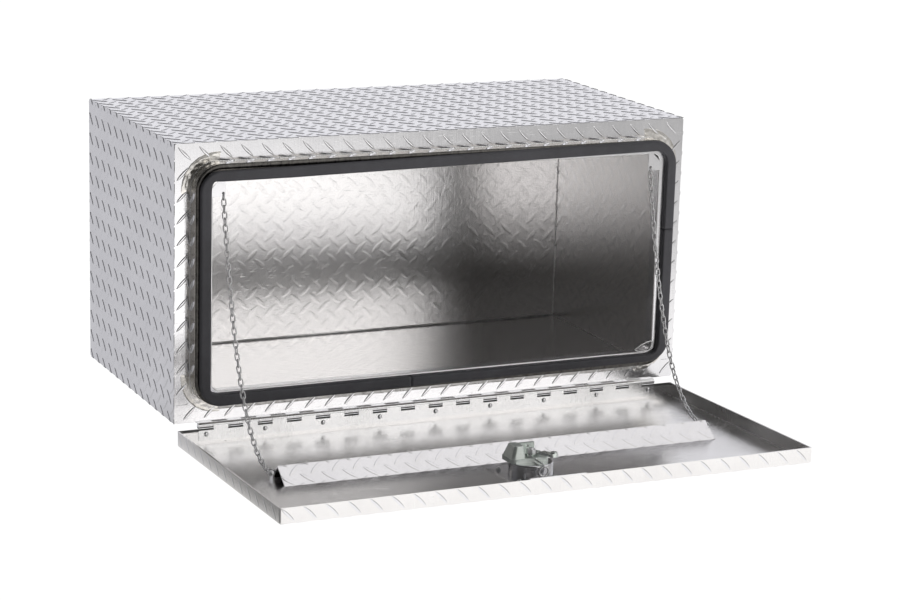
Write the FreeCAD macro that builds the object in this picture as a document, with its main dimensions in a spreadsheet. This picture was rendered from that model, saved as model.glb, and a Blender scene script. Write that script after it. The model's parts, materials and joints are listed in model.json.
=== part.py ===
import FreeCAD, Part
import math
import os
import re

import Sketcher
from FreeCAD import Placement, Rotation, Vector

# Underbody truck tool box in diamond tread aluminium with a drop-down door.
# Frame: origin at the centre of the bottom face, +X to the right, +Y to the back, +Z up.
# Door parts are drawn with the door lying level and then tilted about the hinge pin.

SIZES = {
    # welded body
    "body_width": 914.4,
    "body_depth": 457.2,
    "body_height": 457.2,
    "gauge": 2.5,
    "bend_round": 5.0,
    "front_corner_round": 4.0,
    # raised jamb and its seal round the opening
    "opening_width": 806.0,
    "opening_height": 349.8,
    "opening_round": 15.5,
    "jamb_width": 862.0,
    "jamb_height": 395.0,
    "jamb_round": 43.5,
    "jamb_depth": 23.0,
    "seal_width": 851.0,
    "seal_height": 384.8,
    "seal_round": 38.0,
    "seal_band": 20.0,
    "seal_thickness": 9.9,
    "seal_edge_round": 2.5,
    # continuous hinge
    "pin_forward": 5.0,
    "pin_drop": 4.75,
    "pin_radius": 2.38,
    "knuckle_radius": 4.75,
    "knuckle_bore": 2.44,
    "knuckle_pitch": 25.4,
    "knuckle_gap": 0.4,
    "knuckle_count": 33,
    "leaf_gauge": 1.6,
    "leaf_start": 5.4,
    "door_leaf_start": 7.4,
    "box_leaf_width": 32.0,
    "door_leaf_width": 24.0,
    "rivet_count": 9,
    "rivet_pitch": 101.6,
    "box_rivet_back": 18.6,
    "door_rivet_drop": 13.75,
    "rivet_shank": 2.4,
    "rivet_hole": 2.45,
    "rivet_head": 4.0,
    "rivet_rise": 1.8,
    "rivet_tail": 1.0,
    # door pan
    "door_width": 908.0,
    "door_length": 458.0,
    "door_rim": 25.4,
    "door_corner_round": 3.0,
    "rim_setback": 0.65,
    "floor_drop": 28.3,
    "door_tilt": 1.45,
    "stiffener_length": 756.0,
    "stiffener_back": 227.0,
    "stiffener_apex": 251.0,
    "stiffener_front": 285.0,
    "stiffener_height": 24.0,
    # check chains
    "chain_side": 384.0,
    "chain_wire": 2.0,
    "link_inner_length": 10.6,
    "link_inner_width": 4.4,
    "link_pitch": 10.2,
    "link_count": 48,
    "tab_width": 23.0,
    "tab_height": 30.0,
    "tab_hole_rise": 5.5,
    "chain_hole": 2.6,
    "ear_from_pin": 243.0,
    "ear_height": 15.0,
    "ear_width": 14.0,
    "ear_hole_rise": 9.5,
    "ear_foot": 22.0,
    # recessed quarter-turn latch
    "latch_from_pin": 363.0,
    "plate_half_width": 48.0,
    "plate_gauge": 2.0,
    "plate_start": 305.0,
    "plate_end": 404.0,
    "clip_foot": 24.0,
    "clip_lip": 1.6,
    "dish_flange": 94.0,
    "dish_flange_round": 12.0,
    "dish_gauge": 1.5,
    "gasket_gauge": 1.0,
    "dish_radius": 34.0,
    "dish_rise": 23.5,
    "dish_round": 3.0,
    "screw_offset": 37.0,
    "screw_radius": 2.0,
    "screw_hole": 2.1,
    "spindle_radius": 6.0,
    "spindle_bore": 6.06,
    "deck_left": 38.0,
    "deck_right": 27.0,
    "deck_back": 29.0,
    "deck_front": 12.0,
    "deck_round": 7.0,
    "case_top": 30.5,
    "hood_top": 48.0,
    "hood_right": 11.5,
    "hood_top_left": 28.0,
    "hood_top_back": 26.0,
    "hood_top_front": 2.0,
    "stop_right": 16.0,
    "stop_back": 25.0,
    "stop_gauge": 5.0,
    "stop_top": 46.5,
    "cam_bottom": 32.3,
    "cam_gauge": 3.6,
    "cam_crank": 6.5,
    "crank_start": 12.0,
    "crank_end": 22.0,
    "cam_reach": 53.0,
    "cam_tip_radius": 6.5,
    "cam_hub_radius": 10.0,
    "cam_tip_rise": 4.0,
    "cam_stud": 4.0,
    "cam_rest_angle": 22.5,
    "handle_length": 60.0,
    "handle_width": 12.0,
    "handle_boss": 11.5,
    "plug_radius": 7.0,
    "plug_bore": 7.05,
    "plug_length": 11.0,
    "keeper_half_width": 30.0,
    "keeper_height": 20.0,
    "keeper_gauge": 2.7,
}

doc = FreeCAD.newDocument("truck_tool_box")
sheet = doc.addObject("Spreadsheet::Sheet", "sizes")
for row, (alias, size) in enumerate(SIZES.items(), start=1):
    sheet.set(f"A{row}", alias)
    sheet.set(f"B{row}", str(size))
    sheet.setAlias(f"B{row}", alias)
doc.recompute()

# Places that several pieces share, as expressions in the sheet's words.
FRONT = "-body_depth / 2"
PIN_Y = "(-body_depth / 2 - pin_forward)"
PIN_Z = "(-pin_drop)"
FLOOR = "(-pin_drop - floor_drop)"
SKIN = "(-pin_drop - floor_drop - gauge)"
RIM_TOP = "(-pin_drop - floor_drop - gauge + door_rim)"
SPINDLE_Y = "(-body_depth / 2 - pin_forward - latch_from_pin)"
MIDDLE_Z = "(body_height / 2)"

pieces = []


def bound(text):
    """The same expression with every word of the sheet written as sizes.word."""

    def written(found):
        word = found.group()
        return "sizes." + word if word in SIZES else word

    return re.sub(r"[a-z][a-z_]+", written, text)


def number(text):
    return float(sheet.evalExpression(bound(text)))


def point(x, y, z):
    return Vector(number(x), number(y), number(z))


def door_placement():
    """The tilt that lifts the open door's free edge, about the hinge pin."""
    return Placement(Vector(), Rotation(Vector(1, 0, 0), -number("door_tilt")), point("0", PIN_Y, PIN_Z))


def latch_placement():
    """The turned latch at rest: a turn about the spindle, then the door's tilt."""
    about_spindle = Rotation(Vector(0, 0, 1), number("cam_rest_angle"))
    turn = Placement(Vector(), about_spindle, point("0", SPINDLE_Y, "0"))
    return door_placement().multiply(turn)


def keep(piece, label, placement=None):
    piece.Label = label
    if placement:
        piece.Placement = placement
    pieces.append(piece)
    return piece


# ---------------------------------------------------------------- PartDesign helpers


def new_body(name):
    return doc.addObject("PartDesign::Body", name)


def origin_item(body, role):
    return next(item for item in body.Origin.OriginFeatures if item.Role == role)


def new_sketch(body, plane, offset="0"):
    """A sketch on one of the body's own origin planes, moved along the plane's normal."""
    sketch = body.newObject("Sketcher::SketchObject", body.Name + "_sketch")
    sketch.AttachmentSupport = [(origin_item(body, plane), "")]
    sketch.MapMode = "FlatFace"
    sketch.setExpression("AttachmentOffset.Base.z", bound(offset))
    return sketch


def pin_down(sketch, vertex, kind, text):
    """Fix one coordinate of a sketch point, measured from the sketch's origin."""
    index = sketch.addConstraint(Sketcher.Constraint(kind, -1, 1, vertex[0], vertex[1], number(text)))
    name = f"{kind}_{vertex[0]}_{vertex[1]}"
    sketch.renameConstraint(index, name)
    sketch.setExpression("Constraints." + name, bound(text))


def polygon(sketch, corners):
    """A closed outline of straight lines through corners given as pairs of expressions."""
    places = [Vector(number(a), number(b), 0) for a, b in corners]
    first = sketch.GeometryCount
    count = len(corners)
    for i in range(count):
        sketch.addGeometry(Part.LineSegment(places[i], places[(i + 1) % count]), False)
    for i in range(count):
        sketch.addConstraint(Sketcher.Constraint("Coincident", first + i, 2, first + (i + 1) % count, 1))
    for i, (a, b) in enumerate(corners):
        pin_down(sketch, (first + i, 1), "DistanceX", a)
        pin_down(sketch, (first + i, 1), "DistanceY", b)


def rectangle(sketch, left, right, low, high):
    polygon(sketch, [(left, low), (right, low), (right, high), (left, high)])


def circle(sketch, across, up, radius):
    centre = Vector(number(across), number(up), 0)
    ring = sketch.addGeometry(Part.Circle(centre, Vector(0, 0, 1), number(radius)), False)
    index = sketch.addConstraint(Sketcher.Constraint("Radius", ring, number(radius)))
    sketch.renameConstraint(index, f"radius_{ring}")
    sketch.setExpression(f"Constraints.radius_{ring}", bound(radius))
    pin_down(sketch, (ring, 3), "DistanceX", across)
    pin_down(sketch, (ring, 3), "DistanceY", up)


def rounded_rectangle(sketch, left, right, low, high, radius):
    """Four lines and four tangent arcs; each side is held by its own expression."""
    x0, x1, y0, y1, r = (number(text) for text in (left, right, low, high, radius))
    first = sketch.GeometryCount
    lines = [
        (Vector(x0 + r, y0, 0), Vector(x1 - r, y0, 0)),
        (Vector(x1, y0 + r, 0), Vector(x1, y1 - r, 0)),
        (Vector(x1 - r, y1, 0), Vector(x0 + r, y1, 0)),
        (Vector(x0, y1 - r, 0), Vector(x0, y0 + r, 0)),
    ]
    arcs = [(x1 - r, y0 + r, -90), (x1 - r, y1 - r, 0), (x0 + r, y1 - r, 90), (x0 + r, y0 + r, 180)]
    for start, end in lines:
        sketch.addGeometry(Part.LineSegment(start, end), False)
    for x, y, start in arcs:
        full = Part.Circle(Vector(x, y, 0), Vector(0, 0, 1), r)
        sketch.addGeometry(Part.ArcOfCircle(full, math.radians(start), math.radians(start + 90)), False)
    for i in range(4):
        line, arc, following = first + i, first + 4 + i, first + (i + 1) % 4
        sketch.addConstraint(Sketcher.Constraint("Tangent", line, 2, arc, 1))
        sketch.addConstraint(Sketcher.Constraint("Tangent", arc, 2, following, 1))
        sketch.addConstraint(Sketcher.Constraint("Vertical" if i % 2 else "Horizontal", line))
    for i in range(1, 4):
        sketch.addConstraint(Sketcher.Constraint("Equal", first + 4, first + 4 + i))
    index = sketch.addConstraint(Sketcher.Constraint("Radius", first + 4, r))
    sketch.renameConstraint(index, f"radius_{first}")
    sketch.setExpression(f"Constraints.radius_{first}", bound(radius))
    pin_down(sketch, (first, 1), "DistanceY", low)
    pin_down(sketch, (first + 1, 1), "DistanceX", right)
    pin_down(sketch, (first + 2, 1), "DistanceY", high)
    pin_down(sketch, (first + 3, 1), "DistanceX", left)


def pad(body, sketch, length, symmetric=False):
    feature = body.newObject("PartDesign::Pad", body.Name + "_pad")
    feature.Profile = sketch
    feature.setExpression("Length", bound(length))
    if symmetric:
        feature.SideType = "Symmetric"
    doc.recompute()
    return feature


def pocket(body, sketch, length, along_normal=True):
    """Cut along the sketch's normal, or against it; a cut that removes nothing is an error."""
    before = body.Shape.Volume
    feature = body.newObject("PartDesign::Pocket", body.Name + "_pocket")
    feature.Profile = sketch
    feature.setExpression("Length", bound(length))
    feature.Reversed = along_normal
    doc.recompute()
    if not body.Shape.Volume < before - 1e-6:
        raise ValueError(f"{body.Name}: a pocket cut nothing")
    return feature


def row_along_x(body, features, count, pitch):
    """Repeat features along +X."""
    pattern = body.newObject("PartDesign::LinearPattern", body.Name + "_row")
    pattern.Originals = features
    pattern.Direction = (origin_item(body, "X_Axis"), [""])
    pattern.setExpression("Occurrences", bound(count))
    pattern.setExpression("Length", bound(f"(({count}) - 1) * ({pitch})"))
    body.Tip = pattern
    doc.recompute()
    return pattern


def fillet(body, radius, wanted):
    """Round the edges whose middle point passes the test."""
    base = body.Tip
    names = []
    for i, edge in enumerate(base.Shape.Edges, start=1):
        middle = edge.valueAt((edge.FirstParameter + edge.LastParameter) / 2)
        if wanted(edge, middle):
            names.append(f"Edge{i}")
    feature = body.newObject("PartDesign::Fillet", body.Name + "_fillet")
    feature.Base = (base, names)
    feature.setExpression("Radius", bound(radius))
    doc.recompute()
    return feature


def runs_along(edge, axis):
    straight = edge.Curve.TypeId == "Part::GeomLine"
    return straight and abs(abs(edge.tangentAt(edge.FirstParameter).dot(axis)) - 1) < 1e-6


def near(a, b):
    return abs(a - b) < 1e-3


# ---------------------------------------------------------------- welded body


def make_body_wrap():
    """Top, back and bottom bent from one sheet, riveted to the hinge along its front edge."""
    body = new_body("body_wrap")
    sketch = new_sketch(body, "YZ_Plane")
    front, back = "-body_depth / 2 + gauge", "body_depth / 2"
    polygon(sketch, [
        (front, "0"), (back, "0"), (back, "body_height"), (front, "body_height"),
        (front, "body_height - gauge"), (back + " - gauge", "body_height - gauge"),
        (back + " - gauge", "gauge"), (front, "gauge"),
    ])
    pad(body, sketch, "body_width - 2 * gauge", symmetric=True)
    along = Vector(1, 0, 0)
    outer, inner = number(back), number(back + " - gauge")
    fillet(body, "bend_round", lambda edge, mid: runs_along(edge, along) and near(mid.y, outer))
    fillet(body, "bend_round - gauge", lambda edge, mid: runs_along(edge, along) and near(mid.y, inner)
           and number("2 * gauge") > min(mid.z, number("body_height") - mid.z) > number("gauge") / 2)
    holes = new_sketch(body, "XY_Plane")
    circle(holes, "-(rivet_count - 1) / 2 * rivet_pitch", f"{PIN_Y} + box_rivet_back", "rivet_hole")
    row_along_x(body, [pocket(body, holes, "2 * gauge")], "rivet_count", "rivet_pitch")
    keep(body, "body_wrap")


def make_end_panel(label, inner_face_x):
    body = new_body(label)
    sketch = new_sketch(body, "YZ_Plane", inner_face_x)
    rectangle(sketch, "-body_depth / 2 + gauge", "body_depth / 2", "0", "body_height")
    pad(body, sketch, "gauge")
    along, back = Vector(1, 0, 0), number("body_depth / 2")
    fillet(body, "bend_round", lambda edge, mid: runs_along(edge, along) and near(mid.y, back))
    keep(body, label)


def front_outline(sketch, name, grow="0"):
    """A rounded rectangle round the front's middle, sized by name_width, name_height and name_round."""
    half = f"({name}_width / 2 + {grow})"
    tall = f"({name}_height / 2 + {grow})"
    rounded_rectangle(sketch, f"-{half}", half, f"{MIDDLE_Z} - {tall}", f"{MIDDLE_Z} + {tall}",
                      f"{name}_round + {grow}")


def make_front_frame():
    """The flat band that closes the front of the body round the opening."""
    body = new_body("front_frame")
    sketch = new_sketch(body, "XZ_Plane", "body_depth / 2 - gauge")
    rounded_rectangle(sketch, "-body_width / 2", "body_width / 2", "0", "body_height", "front_corner_round")
    front_outline(sketch, "opening")
    pad(body, sketch, "gauge")
    keep(body, "front_frame")


def make_door_jamb():
    """A hollow raised jamb: two walls and the flat front that carries the seal."""
    body = new_body("door_jamb")
    sketch = new_sketch(body, "XZ_Plane", "body_depth / 2")
    front_outline(sketch, "jamb")
    front_outline(sketch, "opening")
    pad(body, sketch, "jamb_depth")
    groove = new_sketch(body, "XZ_Plane", "body_depth / 2")
    front_outline(groove, "jamb", "-gauge")
    front_outline(groove, "opening", "gauge")
    pocket(body, groove, "jamb_depth - gauge")
    keep(body, "door_jamb")


def make_door_seal():
    body = new_body("door_seal")
    sketch = new_sketch(body, "XZ_Plane", "body_depth / 2 + jamb_depth")
    front_outline(sketch, "seal")
    front_outline(sketch, "seal", "-seal_band")
    pad(body, sketch, "seal_thickness")
    face = number("-body_depth / 2 - jamb_depth - seal_thickness")
    fillet(body, "seal_edge_round", lambda edge, mid: near(mid.y, face))
    keep(body, "door_seal")


def make_chain_bracket(label, side):
    """A tab welded across an upper corner of the jamb, with a hole for the chain."""
    body = new_body(label)
    sketch = new_sketch(body, "XZ_Plane", "body_depth / 2 + jamb_depth - gauge")
    wall = f"{side} * opening_width / 2"
    inner = f"{side} * (opening_width / 2 - tab_width)"
    corner = f"{side} * (opening_width / 2 - opening_round)"
    top = f"{MIDDLE_Z} + opening_height / 2"
    polygon(sketch, [
        (inner, f"{top} - tab_height"), (wall, f"{top} - tab_height"), (wall, f"{top} - opening_round"),
        (corner, top), (inner, top),
    ])
    circle(sketch, f"{side} * chain_side", f"{top} - tab_height + tab_hole_rise", "chain_hole")
    pad(body, sketch, "gauge")
    keep(body, label)


def make_latch_keeper():
    """The wear plate behind the top of the frame that the latch's cam pulls against."""
    body = new_body("latch_keeper")
    sketch = new_sketch(body, "XZ_Plane", "body_depth / 2 - gauge - keeper_gauge")
    low = f"{MIDDLE_Z} + opening_height / 2"
    rectangle(sketch, "-keeper_half_width", "keeper_half_width", low, f"{low} + keeper_height")
    pad(body, sketch, "keeper_gauge")
    face = number("-body_depth / 2 + gauge + keeper_gauge")
    fillet(body, "keeper_gauge / 3", lambda edge, mid: near(mid.y, face))
    keep(body, "latch_keeper")


# ---------------------------------------------------------------- hinge


def make_box_leaf():
    """The fixed leaf lies under the bottom panel; its knuckles include both ends."""
    body = new_body("hinge_leaf_box")
    plate = new_sketch(body, "XY_Plane", "-leaf_gauge")
    half = "knuckle_count * knuckle_pitch / 2"
    rectangle(plate, f"-{half}", half, f"{PIN_Y} + leaf_start", f"{PIN_Y} + box_leaf_width")
    pad(body, plate, "leaf_gauge")
    start = f"-{half} + knuckle_gap / 2"
    barrel = new_sketch(body, "YZ_Plane", start)
    circle(barrel, PIN_Y, PIN_Z, "knuckle_radius")
    barrel_pad = pad(body, barrel, "knuckle_pitch - knuckle_gap")
    strap = new_sketch(body, "YZ_Plane", start)
    rectangle(strap, PIN_Y, f"{PIN_Y} + leaf_start + leaf_gauge", "-leaf_gauge", "0")
    strap_pad = pad(body, strap, "knuckle_pitch - knuckle_gap")
    row_along_x(body, [barrel_pad, strap_pad], "(knuckle_count + 1) / 2", "2 * knuckle_pitch")
    bore = new_sketch(body, "YZ_Plane", f"-{half}")
    circle(bore, PIN_Y, PIN_Z, "knuckle_bore")
    pocket(body, bore, "knuckle_count * knuckle_pitch")
    holes = new_sketch(body, "XY_Plane", "-2 * leaf_gauge")
    circle(holes, "-(rivet_count - 1) / 2 * rivet_pitch", f"{PIN_Y} + box_rivet_back", "rivet_hole")
    row_along_x(body, [pocket(body, holes, "3 * leaf_gauge")], "rivet_count", "rivet_pitch")
    keep(body, "hinge_leaf_box")


def make_door_leaf():
    """The moving leaf stands against the inside of the door's rim."""
    body = new_body("hinge_leaf_door")
    half = "knuckle_count * knuckle_pitch / 2"
    face, back = f"{PIN_Y} - knuckle_radius", f"{PIN_Y} - knuckle_radius + leaf_gauge"
    plate = new_sketch(body, "YZ_Plane")
    rectangle(plate, face, back, f"{PIN_Z} - door_leaf_width", f"{PIN_Z} - door_leaf_start")
    pad(body, plate, "knuckle_count * knuckle_pitch", symmetric=True)
    start = f"-{half} + knuckle_pitch + knuckle_gap / 2"
    barrel = new_sketch(body, "YZ_Plane", start)
    circle(barrel, PIN_Y, PIN_Z, "knuckle_radius")
    barrel_pad = pad(body, barrel, "knuckle_pitch - knuckle_gap")
    strap = new_sketch(body, "YZ_Plane", start)
    rectangle(strap, face, back, f"{PIN_Z} - door_leaf_start - leaf_gauge", PIN_Z)
    strap_pad = pad(body, strap, "knuckle_pitch - knuckle_gap")
    row_along_x(body, [barrel_pad, strap_pad], "(knuckle_count - 1) / 2", "2 * knuckle_pitch")
    bore = new_sketch(body, "YZ_Plane", f"-{half}")
    circle(bore, PIN_Y, PIN_Z, "knuckle_bore")
    pocket(body, bore, "knuckle_count * knuckle_pitch")
    holes = new_sketch(body, "XZ_Plane", f"-({back} + leaf_gauge)")
    circle(holes, "-(rivet_count - 1) / 2 * rivet_pitch", f"{PIN_Z} - door_rivet_drop", "rivet_hole")
    row_along_x(body, [pocket(body, holes, "3 * leaf_gauge")], "rivet_count", "rivet_pitch")
    keep(body, "hinge_leaf_door", door_placement())


def make_hinge_pin():
    pin = doc.addObject("Part::Cylinder", "hinge_pin")
    pin.setExpression("Radius", bound("pin_radius"))
    pin.setExpression("Height", bound("knuckle_count * knuckle_pitch"))
    start = point("-knuckle_count * knuckle_pitch / 2", PIN_Y, PIN_Z)
    keep(pin, "hinge_pin", Placement(start, Rotation(Vector(0, 1, 0), 90)))


def rivet_shape(grip):
    """A domed rivet along +Z: head above the origin, shank of length grip below it, flat tail."""
    base, rise = number("rivet_head"), number("rivet_rise")
    dome = (base * base + rise * rise) / (2 * rise)
    cap_angle = math.degrees(math.asin((dome - rise) / dome))
    head = Part.makeSphere(dome, Vector(0, 0, rise - dome), Vector(0, 0, 1), cap_angle, 90, 360)
    shank = Part.makeCylinder(number("rivet_shank"), grip, Vector(0, 0, -grip))
    end = number("rivet_tail")
    tail = Part.makeCone(base * 0.7, base * 0.8, end, Vector(0, 0, -grip - end))
    return head.fuse([shank, tail]).removeSplitter()


def fastener_row(label, master, start, direction, placement=None):
    """Identical fasteners along the hinge, as one group of solids."""
    count, pitch = int(number("rivet_count")), number("rivet_pitch")
    turn = Rotation(Vector(0, 0, 1), direction)
    copies = []
    for i in range(count):
        solid = master.copy()
        solid.Placement = Placement(start + Vector(i * pitch, 0, 0), turn)
        copies.append(solid)
    group = doc.addObject("Part::Feature", label)
    group.Shape = Part.makeCompound(copies)
    keep(group, label, placement)


def make_hinge_rivets():
    box_start = point("-(rivet_count - 1) / 2 * rivet_pitch", f"{PIN_Y} + box_rivet_back", "-leaf_gauge")
    fastener_row("hinge_rivets_box", rivet_shape(number("leaf_gauge + gauge")), box_start, Vector(0, 0, -1))
    door_start = point("-(rivet_count - 1) / 2 * rivet_pitch", f"{PIN_Y} - knuckle_radius",
                       f"{PIN_Z} - door_rivet_drop")
    door_rivet = rivet_shape(number("leaf_gauge + gauge"))
    fastener_row("hinge_rivets_door", door_rivet, door_start, Vector(0, -1, 0), door_placement())


# ---------------------------------------------------------------- door


def make_door_pan():
    """The door is a shallow pan: tread skin with four rims, cut for the latch and the hinge."""
    body = new_body("door_pan")
    outer = new_sketch(body, "XY_Plane", SKIN)
    half = "door_width / 2"
    back, front = f"{PIN_Y} - rim_setback", f"{PIN_Y} - rim_setback - door_length"
    rounded_rectangle(outer, f"-{half}", half, front, back, "door_corner_round")
    pad(body, outer, "door_rim")
    skin = number(SKIN)
    fillet(body, "door_corner_round", lambda edge, mid: near(mid.z, skin))
    tray = new_sketch(body, "XY_Plane", FLOOR)
    rounded_rectangle(tray, f"-{half} + gauge", f"{half} - gauge", f"{front} + gauge", f"{back} - gauge",
                      "door_corner_round - gauge + 1")
    pocket(body, tray, "door_rim")
    cutouts = new_sketch(body, "XY_Plane", f"{SKIN} - gauge")
    latch_cutouts(cutouts, "dish_radius + dish_gauge + 0.5")
    pocket(body, cutouts, "3 * gauge")
    holes = new_sketch(body, "XZ_Plane", f"-({back} + gauge)")
    circle(holes, "-(rivet_count - 1) / 2 * rivet_pitch", f"{PIN_Z} - door_rivet_drop", "rivet_hole")
    row_along_x(body, [pocket(body, holes, "3 * gauge")], "rivet_count", "rivet_pitch")
    keep(body, "door_pan", door_placement())


def latch_cutouts(sketch, radius):
    """The round hole for the dish and its four screw holes, centred on the spindle."""
    circle(sketch, "0", SPINDLE_Y, radius)
    screw_circles(sketch)


def screw_circles(sketch):
    for across in ("-screw_offset", "screw_offset"):
        for along in ("- screw_offset", "+ screw_offset"):
            circle(sketch, across, f"{SPINDLE_Y} {along}", "screw_hole")


def make_door_stiffener():
    """An inverted V of tread plate welded across the inside of the door."""
    body = new_body("door_stiffener")
    sketch = new_sketch(body, "YZ_Plane")
    folds = ("stiffener_back", "stiffener_apex", "stiffener_front")
    back, apex, front = (f"{PIN_Y} - {name}" for name in folds)
    top = f"{FLOOR} + stiffener_height"
    polygon(sketch, [
        (back, FLOOR), (apex, top), (front, FLOOR),
        (f"{front} + 1.6 * gauge", FLOOR), (apex, f"{top} - 1.4 * gauge"), (f"{back} - 1.6 * gauge", FLOOR),
    ])
    pad(body, sketch, "stiffener_length", symmetric=True)
    keep(body, "door_stiffener", door_placement())


def make_chain_anchor(label, side):
    """A welded L bracket at the stiffener's end; its ear takes the chain's last link."""
    body = new_body(label)
    ear = new_sketch(body, "YZ_Plane", f"{side} * chain_side - gauge / 2")
    middle = f"{PIN_Y} - ear_from_pin"
    rectangle(ear, f"{middle} - ear_width / 2", f"{middle} + ear_width / 2", FLOOR, f"{FLOOR} + ear_height")
    pad(body, ear, "gauge")
    foot = new_sketch(body, "XY_Plane", FLOOR)
    inner = f"{side} * (chain_side - ear_foot)"
    rectangle(foot, inner, f"{side} * chain_side", f"{middle} - ear_width / 2",
              f"{middle} + ear_width / 2 - gauge")
    pad(body, foot, "gauge")
    top, along = number(f"{FLOOR} + ear_height"), Vector(1, 0, 0)
    fillet(body, "ear_width / 3", lambda edge, mid: runs_along(edge, along) and near(mid.z, top))
    hole = new_sketch(body, "YZ_Plane", f"{side} * chain_side - gauge")
    circle(hole, middle, f"{FLOOR} + ear_hole_rise", "chain_hole")
    pocket(body, hole, "2 * gauge")
    keep(body, label, door_placement())


# ---------------------------------------------------------------- chains


def link_shape():
    """One stadium-shaped link in the XY plane, its long axis along X."""
    wire = number("chain_wire") / 2
    bend = number("link_inner_width") / 2 + wire
    straight = number("link_inner_length") / 2 - number("link_inner_width") / 2
    parts = []
    for side in (-1, 1):
        start = Vector(-straight, side * bend, 0)
        parts.append(Part.makeCylinder(wire, 2 * straight, start, Vector(1, 0, 0)))
        turn = Part.makeTorus(bend, wire, Vector(), Vector(0, 0, 1), -180, 180, 180)
        turn.rotate(Vector(), Vector(0, 0, 1), -90 if side > 0 else 90)
        turn.translate(Vector(side * straight, 0, 0))
        parts.append(turn)
    return parts[0].fuse(parts[1:]).removeSplitter()


def catenary(top, bottom, length):
    """The hanging curve of a given length between two points in the YZ plane, as place(s)."""
    span, fall = abs(bottom.y - top.y), top.z - bottom.z
    target = math.sqrt(length * length - fall * fall)
    low, high = span / 20, span * 20
    for _ in range(80):
        scale = (low + high) / 2
        if 2 * scale * math.sinh(span / (2 * scale)) > target:
            low = scale
        else:
            high = scale
    lowest = span / 2 + scale * math.atanh(fall / length)
    start = scale * math.sinh(-lowest / scale)

    def place(s):
        along = lowest + scale * math.asinh((start + s) / scale)
        height = scale * (math.cosh((along - lowest) / scale) - math.cosh(lowest / scale))
        slope = math.sinh((along - lowest) / scale)
        spot = Vector(top.x, top.y - along, top.z + height)
        tangent = Vector(0, -1, slope).normalize()
        return spot, tangent

    return place


def make_chain(label, side):
    """Interlocked links, each turned a quarter against the next, along a slack hanging curve."""
    top_z = f"{MIDDLE_Z} + opening_height / 2 - tab_height + tab_hole_rise"
    tab_y = "-body_depth / 2 - jamb_depth + gauge / 2"
    top = point(f"{side} * chain_side", tab_y, top_z)
    ear = point(f"{side} * chain_side", f"{PIN_Y} - ear_from_pin", f"{FLOOR} + ear_hole_rise")
    bottom = door_placement().multVec(ear)
    pitch, count = number("link_pitch"), int(number("link_count"))
    place = catenary(top, bottom, pitch * count)
    master = link_shape()
    sideways = Vector(1, 0, 0)
    links = []
    for i in range(count):
        spot, tangent = place((i + 0.5) * pitch)
        across = sideways.cross(tangent)
        normal = sideways if i % 2 == 0 else across
        other = normal.cross(tangent)
        turn = Rotation(tangent, other, normal, "XYZ")
        link = master.copy()
        link.Placement = Placement(spot, turn)
        links.append(link)
    chain = doc.addObject("Part::Feature", label)
    chain.Shape = Part.makeCompound(links)
    keep(chain, label)


# ---------------------------------------------------------------- latch on the door


def make_latch_plate():
    """A flat backing plate under the latch; it stops short of where the seal lands."""
    body = new_body("latch_plate")
    sketch = new_sketch(body, "XY_Plane", FLOOR)
    rectangle(sketch, "-plate_half_width", "plate_half_width", f"{PIN_Y} - plate_end",
              f"{PIN_Y} - plate_start")
    latch_cutouts(sketch, "dish_radius + dish_gauge + 0.5")
    pad(body, sketch, "plate_gauge")
    keep(body, "latch_plate", door_placement())


def make_rim_clip():
    """A folded clip that stiffens the front rim at the latch: foot, upstand and lip."""
    body = new_body("rim_clip")
    sketch = new_sketch(body, "YZ_Plane")
    outside = f"{PIN_Y} - rim_setback - door_length"
    rim = f"{outside} + gauge"
    polygon(sketch, [
        (f"{rim} + clip_foot", FLOOR), (f"{rim} + clip_foot", f"{FLOOR} + plate_gauge"),
        (f"{rim} + plate_gauge", f"{FLOOR} + plate_gauge"), (f"{rim} + plate_gauge", f"{RIM_TOP} + clip_lip"),
        (outside, f"{RIM_TOP} + clip_lip"), (outside, RIM_TOP), (rim, RIM_TOP), (rim, FLOOR),
    ])
    pad(body, sketch, "2 * plate_half_width", symmetric=True)
    keep(body, "rim_clip", door_placement())


def flange_square(sketch):
    side = "dish_flange / 2"
    rounded_rectangle(sketch, f"-{side}", side, f"{SPINDLE_Y} - {side}", f"{SPINDLE_Y} + {side}",
                      "dish_flange_round")


def make_latch_dish():
    """A stamped dish let into the door from outside; its round well leaves room for fingers."""
    body = new_body("latch_dish")
    outside = f"({SKIN} - gasket_gauge - dish_gauge)"
    flange = new_sketch(body, "XY_Plane", outside)
    flange_square(flange)
    screw_circles(flange)
    pad(body, flange, "dish_gauge")
    well = new_sketch(body, "XY_Plane", outside)
    circle(well, "0", SPINDLE_Y, "dish_radius + dish_gauge")
    pad(body, well, f"{FLOOR} + dish_rise - {outside}")
    top = number(f"{FLOOR} + dish_rise")
    fillet(body, "dish_round", lambda edge, mid: near(mid.z, top))
    hollow = new_sketch(body, "XY_Plane", outside)
    circle(hollow, "0", SPINDLE_Y, "dish_radius")
    pocket(body, hollow, f"{FLOOR} + dish_rise - dish_gauge - {outside}")
    bore = new_sketch(body, "XY_Plane", FLOOR)
    circle(bore, "0", SPINDLE_Y, "spindle_bore")
    pocket(body, bore, "2 * dish_rise")
    keep(body, "latch_dish", door_placement())


def make_latch_gasket():
    body = new_body("latch_gasket")
    sketch = new_sketch(body, "XY_Plane", f"{SKIN} - gasket_gauge")
    flange_square(sketch)
    latch_cutouts(sketch, "dish_radius + dish_gauge + 1")
    pad(body, sketch, "gasket_gauge")
    keep(body, "latch_gasket", door_placement())


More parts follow.
